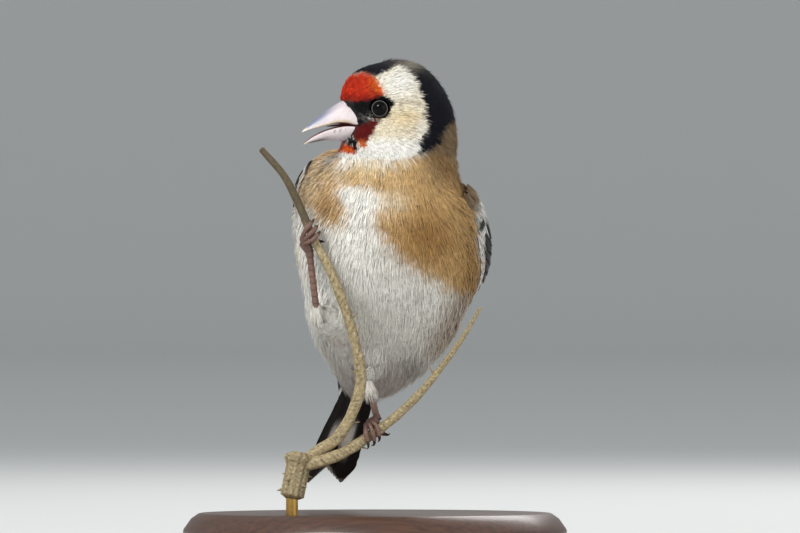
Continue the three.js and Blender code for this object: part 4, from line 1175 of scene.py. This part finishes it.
def addCoverts(add):
    # the yellow row, a dark row and six rows of small coverts over the arm
    for i in range(10):
        f = i * 6 / 9
        add(dict(z=(-17, -32 + 0.5 * f), share=(0.14 + 0.115 * f, 0.17 + 0.115 * f), width=(0.13, 0.14),
                 over=(0.02, 0.5), tilt=0.5, round=0.12), yellowCovert, 12, 7)
    for i in range(12):
        at = 0.1 + 0.062 * i
        add(dict(z=(-11.5, -21.5 + 0.3 * (i % 2)), share=(at, at + 0.02), width=(0.11, 0.115),
                 over=(0.02, 0.55), **small), darkCovert(plumage["brownBlack"], 0.5), 9, 5)
    for row in range(6):
        z = -9.5 + 1.9 * row
        reach = float(np.interp(z, wing["armRows"], wing["armReach"]))
        count = int(10 * reach / 0.8)
        for i in range(count):
            at = 0.07 + (reach - 0.02) * (i + 0.5 * (row % 2)) / count
            add(dict(z=(z, z - 5.8 + rng.normal(0, 0.2)), share=(at, at + 0.01), width=(0.115, 0.12),
                     over=(0.05, 0.55), **small), darkCovert(plumage["brownBlack"], 0.5), 7, 5)


def addEdges(add):
    # pale margin feathers down the leading edge, and scapulars over the wing's root
    for row in range(16):
        z = 2.2 - 2.1 * row
        for i in range(7):
            at = 0.033 * i - 0.03
            add(dict(z=(z, z - 4.6 + rng.normal(0, 0.4)), share=(at + 0.01, at + rng.normal(0, 0.008)),
                     width=(0.05, 0.055), lift=(0.75 + 0.15 * i, 1.1 + 0.17 * i), least=-0.08, **small),
                marginColours, 7, 5)
    for row in range(5):
        z = 2.5 - 3.6 * row
        start = float(np.interp(z, wing["armRows"], wing["armReach"])) - 0.02
        for i in range(4):
            at = start + 0.1 * i + 0.05 * (row % 2)
            add(dict(z=(z, z - 9.5 + rng.normal(0, 0.3)), share=(at, at + 0.02), width=(0.15, 0.16),
                     lift=(1.0 + 0.15 * (3 - i), 2.5 - 0.25 * i), most=1.25, **small), scapularColours, 10, 7)


def makeWing(name, side):
    parts = [armPad(side)]
    add = lambda spec, colours, rows=16, cols=9: parts.append(wingVane(side, spec, colours, rows, cols))
    addFlight(add)
    addCoverts(add)
    addEdges(add)
    points, faces, shade = joinArrays(parts)
    meshPiece("wing_feathers_" + name, points, faces, finishes["vane"], shade,
              replaces=("wing_" + name,))
    print("wing", name, len(faces), "triangles")


for name, side in (("left", 1), ("right", -1)):
    makeWing(name, side)


# Tail: twelve feathers in a shallow fork
tailSet = dict(pairs=6, rows=30, cols=11, thick=0.22,
               shape=([0, 0.35, 0.7, 0.92, 0.98, 1], [0.42, 0.7, 1, 0.92, 0.62, 0.35]))


def tailVane(side, i):
    s, t = np.meshgrid(np.linspace(0, 1, tailSet["rows"]), np.linspace(-1, 1, tailSet["cols"]), indexing="ij")
    length = tailLength - 3.6 + 0.72 * i
    turn = np.radians(0.6 * i + 0.2) * side
    ragged = 1 + rng.normal(0, 0.03, s.shape) * (np.abs(t) > 0.9)
    across = side * (0.35 + 0.32 * i) + t * (5.6 - 0.1 * i) / 2 * np.interp(s, *tailSet["shape"]) * ragged
    run = length * (s - 0.035 * (side * t + 0.25) ** 2 * s ** 3)
    x = across * np.cos(turn) + run * np.sin(turn)
    z = run * np.cos(turn) - across * np.sin(turn)
    y = 1.0 - 0.3 * i - 0.022 * x ** 2 - 0.12 * side * t + 0.1 * np.exp(-((t / 0.12) ** 2))
    top = outOfFrame(tail, np.stack([x, y + tailSet["thick"], z], axis=-1))
    bottom = outOfFrame(tail, np.stack([x, y, z], axis=-1))
    colour = spread(plumage["black"] * 1.15, s.shape)
    inner = blendBetween(-side * t, -0.1, 0.3)
    if i >= 3:
        patch = np.exp(-(((s - 0.68) / (0.05 + 0.035 * (i - 3))) ** 4)) * inner
        colour = mix(colour, plumage["white"], patch)
    tipped = 0.93 + 0.008 * i
    colour = mix(colour, plumage["white"], blendBetween(s, tipped, tipped + 0.02) * (0.9 if i < 5 else 0.7))
    return slab(top, bottom, np.clip(colour * barbs(s, t)[..., None], 0, 1))


def makeTail():
    vanes = [tailVane(side, i) for i in range(tailSet["pairs"]) for side in (1, -1)]
    points, faces, shade = joinArrays(vanes)
    meshPiece("tail_feathers", points, faces, finishes["vane"], shade, replaces=("tail",))


makeTail()
print("wings and tail made")


# Sides: short pale tufts over the front edge of each folded wing
sideTufts = dict(length=4.2, width=0.24, rise=0.45, blades=6, tufts=1400, inner=-0.24,
                 outer=dict(left=0.15, right=0.3))


def sideBlades(name, side):
    count = sideTufts["tufts"]
    z = rng.uniform(-30, 9, count)
    outer = sideTufts["outer"][name] + 0.3 * blendBetween(z, -2, 6) * (side > 0)
    share = rng.uniform(sideTufts["inner"], outer) * blendBetween(z, -36, -20)
    hug = lambda at: 1.0 + 3.2 * np.maximum(at, 0) - 13.0 * np.maximum(-at, 0)
    low = blendBetween(z, 1, 8)
    p, n = wingPoints(side, z, share, hug(share) - 1.3 * low)
    length = sideTufts["length"] * rng.uniform(0.7, 1.2, count)
    drift = share + rng.normal(0, 0.012, count)
    tip, tipNormal = wingPoints(side, z - length, drift, 0.3 + hug(drift) - 0.9 * low)
    fleck = (rng.random(count) < 0.2 * blendBetween(share, 0.02, 0.1) * (side > 0))[:, None]
    pale = mix(np.tile(plumage["greyWhite"], (count, 1)), plumage["white"], rng.random(count) * 0.8)
    if side < 0:
        pale = mix(pale, plumage["tan"], blendBetween(z, -9, 3) * 0.8)
    pale = mix(markings(np.minimum(p, vec(1e3, 1e3, 94))), pale, blendBetween(share, -0.1, 0.02))
    tint = mix(mix(pale, plumage["black"] * 2.5, fleck * 0.8), plumage["nape"],
               blendBetween(z, 5, 9) * (side > 0))
    blades = growBlades(sideTufts, p, n, unit(tip - p), tip, tipNormal, tint)
    return blades, np.full(len(blades[0]), "side" + name.capitalize(), dtype=object)


# Cuffs: the last tufts of each thigh hang over the heel
cuff = dict(length=4.8, width=0.22, rise=0.3, blades=5, tufts=190, radius=1.2)


def cuffBlades(spec):
    count = cuff["tufts"]
    along = unit(spec["joint"] - spec["heel"])
    fall = along * -np.sign(along[2])
    one = unit(np.cross(fall, vec(0.3, 0.2, 0.9)))
    a = rng.uniform(0, 2 * np.pi, count)
    ring = np.cos(a)[:, None] * one + np.sin(a)[:, None] * np.cross(fall, one)
    tilt = rng.uniform(-0.35, 0.95, count)[:, None] * np.pi / 2
    out = unit(ring * np.cos(tilt) - fall * np.sin(tilt))
    p = mix(spec["heel"], spec["thighEnd"], 0.3) + out * cuff["radius"]
    length = cuff["length"] * rng.uniform(0.6, 1.15, count)
    tip = p + fall * length[:, None] + (ring - out) * 0.5 + ring * rng.uniform(-0.4, 0.5, (count, 1))
    # the cuffs' colours darkened towards brown: painted shade at the heel
    tint = mix(markings(p), plumage["nape"] * 0.8, 0.25)
    blades = growBlades(cuff, p, out, unit(tip - p), tip, ring, tint)
    return blades, np.full(count * cuff["blades"], "vent", dtype=object)


def makeCoat():
    grown, names = coverSkin()
    for spec in legs.values():
        blades, labels = cuffBlades(spec)
        grown.append(blades)
        names.append(labels)
    for name, side in (("left", 1), ("right", -1)):
        blades, labels = sideBlades(name, side)
        grown.append(blades)
        names.append(labels)
    whole = [np.concatenate([blades[k] for blades in grown]) for k in range(4)]
    names = np.concatenate(names)
    total = 0
    for name in coat["pieces"]:
        mine = np.nonzero(names == name)[0]
        for part, rows in enumerate(np.array_split(mine, max(1, math.ceil(len(mine) / coat["mostBlades"])))):
            label = "coat_" + name + ("" if part == 0 else "_" + str(part + 1))
            total += writeBlades(label, [array[rows] for array in whole])
    print("coat made:", total, "triangles")


makeCoat()


# Feet
toes = dict(
    rows=[(-1.7, 12, 200, 1.0), (0, 12, 225, 1.0), (1.7, 12, 205, 1.0), (0.3, -15, -165, 1.15)],
    radius=0.58, tarsus=0.78, clawShare=0.74, gap=0.3,
    skin=seen(106, 76, 64), seam=seen(56, 38, 32), pale=seen(146, 112, 98), claw=seen(56, 42, 38),
)
bracts = dict(
    long=dict(path=[(-17.0, -25.5, 21.4), (-13.6, -25.0, 24.0), (-9.2, -25.2, 27.2), (-5.6, -26.0, 33.2),
                    (-3.4, -27.0, 41.0), (-4.6, -29.0, 50.0), (-7.6, -32.0, 60.0), (-11.4, -33.6, 69.5),
                    (-15.4, -33.2, 77.0), (-18.6, -32.5, 84.6), (-22.4, -31.5, 92.0), (-28.0, -29.5, 98.6)],
              radius=(1.5, 0.85), thorns=(0.16, 0.3, 0.46), darkFrom=0.72),
    low=dict(path=[(-17.4, -27.6, 20.4), (-12.4, -27.4, 21.6), (-7.4, -25.6, 23.6), (-1.4, -22.6, 27.4),
                   (4.4, -21.2, 31.6), (10.8, -21.6, 37.6), (16.4, -23.4, 44.4), (21.6, -26.0, 51.6),
                   (26.2, -28.8, 59.4)],
             radius=(1.55, 0.4), thorns=(0.24, 0.66), darkFrom=2.0),
    straw=seen(152, 134, 98), pale=seen(184, 172, 138), dark=seen(66, 54, 32), fleck=seen(58, 44, 28),
)


def bractRadius(spec, s):
    low, high = spec["radius"]
    return low + (high - low) * s ** 1.2


def scaled(count, run, colourA, colourB):
    # rings of pale scutes with dark seams between them
    step = (np.linspace(0, 1, run) * count) % 1
    return mix(np.tile(colourA, (run, 1)), colourB,
               np.exp(-((np.minimum(step, 1 - step) / 0.1) ** 2)) * 0.75), step


def makeTarsus(spec):
    rows = 120
    path = smoothCurve([mix(spec["heel"], spec["thighEnd"], 0.4), spec["heel"],
                        mix(spec["heel"], spec["joint"], 0.5), spec["joint"]], rows)
    s = np.linspace(0, 1, rows)
    colour, step = scaled(9, rows, toes["skin"], toes["seam"])
    knob = 0.12 * np.exp(-((s / 0.1) ** 2)) + 0.3 * np.exp(-(((1 - s) / 0.1) ** 2))
    radius = toes["tarsus"] + knob + 0.13 * (1 - step) ** 1.5
    return tube(path, radius, 16, mix(colour, toes["pale"], 0.25 * np.sin(s * 3.1)))


def makeToes(spec):
    branch = bracts[spec["bract"]]
    curve = smoothCurve(branch["path"], 400)
    at = int(np.argmax(curve[:, 2] >= spec["gripZ"]))
    centre = curve[at]
    along = unit(curve[at + 1] - curve[at - 1])
    p = unit(spec["palm"] - along * spec["palm"].dot(along))
    q = np.cross(along, p)
    if q[1] > 0:
        q = -q
    thick = float(bractRadius(branch, at / 399))
    middle = centre + p * (thick + toes["gap"] + 1.25)
    parts, claws = [], []
    rows = 90
    for spreadBy, start, stop, size in toes["rows"]:
        s = np.linspace(0, 1, 8)
        a = np.radians(mix(start, stop, s))
        r = thick + toes["gap"] + toes["radius"] + 0.05 + 0.75 * np.exp(-s * 6) + 0.18 * np.sin(s * 9)
        shift = spreadBy * np.minimum(1, s * 2.2 + 0.2) + spec["drift"] * s * np.sign(stop)
        ring = centre + p * (r * np.cos(a))[:, None] + q * (r * np.sin(a))[:, None] + along * shift[:, None]
        path = smoothCurve(np.vstack([mix(spec["joint"], middle, 0.45), ring]), rows)
        split = int(rows * toes["clawShare"])
        u = np.linspace(0, 1, rows)
        colour, step = scaled(13, split, toes["skin"], toes["seam"])
        pads = 0.1 * np.cos(u[:split] * 22)
        radius = toes["radius"] * (1 + pads + 0.1 * (1 - step) ** 1.5) * size ** 0.5
        parts.append(tube(path[:split], radius, 12,
                          mix(colour, toes["pale"], 0.3 * blendBetween(u[:split], 0.3, 0.9))))
        v = np.linspace(0, 1, rows - split + 3)
        clawPath = path[split - 3:]
        horn = np.tile(toes["claw"], (len(clawPath), 1)) * (1.2 - 0.4 * v)[:, None]
        claws.append(tube(clawPath, np.interp(v, [0, 0.25, 1], [0.46, 0.42, 0.06]), 10, horn))
    palmPath = smoothCurve([spec["joint"], mix(spec["joint"], middle, 0.5), middle], 24)
    colour, _ = scaled(4, 24, toes["skin"], toes["seam"])
    parts.append(tube(palmPath, 1.2 + 0.1 * np.sin(np.linspace(0, 3, 24)), 14, colour))
    return parts, claws


def makeLegs():
    for name, spec in legs.items():
        points, faces, shade = makeTarsus(spec)
        meshPiece("leg_scutes_" + name, points, faces, finishes["leg"], shade,
                  replaces=("tarsus_" + name,))
        skinParts, clawParts = makeToes(spec)
        points, faces, shade = joinArrays(skinParts)
        meshPiece("toes_" + name, points, faces, finishes["leg"], shade,
                  replaces=("foot_" + name,))
        points, faces, shade = joinArrays(clawParts)
        meshPiece("claws_" + name, points, faces, finishes["claw"], shade)


makeLegs()
print("legs made")


# Perch: the cut stem and the two long bracts, grooved, flecked and prickly
def branchColours(path, around, darkTop):
    wave = np.sin(path @ vec(3.1, 2.3, 4.7)) + np.sin(path @ vec(-5.3, 4.1, 1.3) + 2)
    colour = np.tile(bracts["straw"], (len(path), 1))
    colour = mix(colour, bracts["pale"], blendBetween(wave, 0, 1.6) * 0.6)
    colour = mix(colour, bracts["fleck"], (np.sin(path @ vec(11, 7, 5))
                                           * np.sin(path @ vec(-6, 9, 3.4)) > 0.72) * 0.7)
    return mix(colour, bracts["dark"], darkTop * blendBetween(np.cos(around - 2.4), -0.95, -0.2) * 0.9)


def branchTube(path, radius, a, out, darkTop, grooveShade=1.0):
    # a tube of straw, coloured as the straw is a little way out from its middle
    rows, sides = len(path), len(a)
    turns = np.tile(a, rows)
    spots = np.repeat(path, sides, axis=0) + out * np.stack([np.cos(turns), np.sin(turns), turns * 0], axis=1)
    shade = branchColours(spots, turns, np.repeat(darkTop, sides)).reshape(rows, sides, 3)
    # grooveShade darkens the colours: painted shade in the stem's grooves
    return tube(path, radius, sides, shade * grooveShade)


def prickle(at, out, length, radius):
    v = np.linspace(0, 1, 9)
    path = at + np.outer(v * length, unit(out)) + np.outer(v ** 2 * length * 0.18, vec(0, 0, 1))
    return tube(path, radius * (1 - v) ** 0.8 + 0.03, 8, np.tile(bracts["straw"] * 0.8, (9, 1)))


def makeBract(name):
    spec = bracts[name]
    rows, sides = 220, 20
    path = smoothCurve(spec["path"], rows)
    s = np.linspace(0, 1, rows)
    a = np.linspace(0, 2 * np.pi, sides, endpoint=False)
    groove = 1 + 0.07 * np.cos(5 * a)[None] - 0.16 * np.exp(-(((a - 4.2) / 0.5) ** 2))[None]
    lumps = 1 + 0.035 * np.sin(s * 61)[:, None] + 0.03 * np.sin(s * 23 + 1)[:, None]
    radius = bractRadius(spec, s)[:, None] * groove * lumps
    darkTop = blendBetween(s, spec["darkFrom"], spec["darkFrom"] + 0.05)
    parts = [branchTube(path, radius, a, 1, darkTop)]
    ahead = unit(np.gradient(path, axis=0))
    for n, share in enumerate(spec["thorns"]):
        i = int(share * (rows - 1))
        out = unit(np.cross(ahead[i], vec(0, 1 if n % 2 else -1, 0.2))) + 0.4 * ahead[i]
        parts.append(prickle(path[i], out, 1.7 + float(bractRadius(spec, s[i])), 0.4))
    points, faces, colours = joinArrays(parts)
    meshPiece("bract_" + name, points, faces, finishes["bract"], colours,
              replaces=("perch_bract_" + name,))


stem = dict(foot=vec(-20.5, -27.5, 12.8), top=vec(-18.6, -26.5, 22.4), radius=2.9, ribs=11)


def makeStem():
    rows, sides = 60, 66
    path = smoothCurve([stem["foot"], mix(stem["foot"], stem["top"], 0.5), stem["top"]], rows)
    s = np.linspace(0, 1, rows)
    a = np.linspace(0, 2 * np.pi, sides, endpoint=False)
    ribs = np.cos(stem["ribs"] * a)[None]
    radius = stem["radius"] * (1 + 0.28 * blendBetween(s, 0.72, 0.95))[:, None] * (1 + 0.045 * ribs)
    # the grooves between the ribs are coloured darker: painted shade
    parts = [branchTube(path, radius, a, 3, np.zeros(rows), (0.86 + 0.14 * ribs)[..., None])]
    run = stem["top"] - stem["foot"]
    for i in range(9):
        turn = i * 2.4 + 0.8
        out = vec(math.cos(turn), math.sin(turn), -0.45)
        at = stem["foot"] + run * (0.1 + 0.085 * i) + vec(out[0], out[1], 0) * stem["radius"] * 0.85
        parts.append(prickle(at, out, 1.9, 0.45))
    points, faces, colours = joinArrays(parts)
    meshPiece("stem_cut", points, faces, finishes["bract"], colours, replaces=("perch_stem",))


makeBract("long")
makeBract("low")
makeStem()
print("perch made")


# Stand: a turned wooden base and a brass rod
stand = dict(height=8, rod=1.5, round=0.5, steps=160, crease=math.radians(40), sunk=0.5, intoStem=1.0,
             wood=seen(74, 46, 30),
             profile=[(0, 0), (46.6, 0), (48, 1.4), (48, 3.8), (46, 6.6), (44, 8), (0, 8)])


def woodMaterial():
    material, tree, shader = newMaterial("darkWood", 0.38, **{"Coat Weight": 0.25, "Coat Roughness": 0.2})
    addMottle(tree, shader, colour=stand["wood"], scale=90, amount=0.4, stretch=(1, 14, 14), bumpBy=0.12)
    return material


def makeBase():
    outline = bpy.data.meshes.new("wooden_base")
    corners = [(r * mm, 0, z * mm) for r, z in stand["profile"]]
    outline.from_pydata(corners, [(k, k + 1) for k in range(len(corners) - 1)], [])
    base = bpy.data.objects.new("wooden_base", outline)
    bpy.context.scene.collection.objects.link(base)
    bpy.context.view_layer.objects.active = base
    bpy.ops.object.select_all(action="DESELECT")
    base.select_set(True)
    applied(base, "SCREW", steps=stand["steps"], render_steps=stand["steps"], use_merge_vertices=True)
    applied(base, "BEVEL", width=stand["round"] * mm, segments=4, limit_method="ANGLE")
    facedOut()
    bpy.ops.object.shade_smooth_by_angle(angle=stand["crease"])
    base.data.materials.append(woodMaterial())
    placePiece(base, ("stand_base",))


def makeRod():
    low, high = stand["height"] - stand["sunk"], stem["foot"][2] + stand["intoStem"]
    bpy.ops.mesh.primitive_cylinder_add(vertices=48, radius=stand["rod"] * mm, depth=(high - low) * mm,
                                        location=vec(*stem["foot"][:2], (high + low) / 2) * mm)
    post = bpy.context.object
    post.name = "brass_post"
    bpy.ops.object.transform_apply(location=True, rotation=True, scale=True)
    bpy.ops.object.shade_smooth_by_angle(angle=stand["crease"])
    post.data.materials.append(finishes["brass"])
    placePiece(post, ("stand_rod",))


makeBase()
makeRod()
print("stand made")
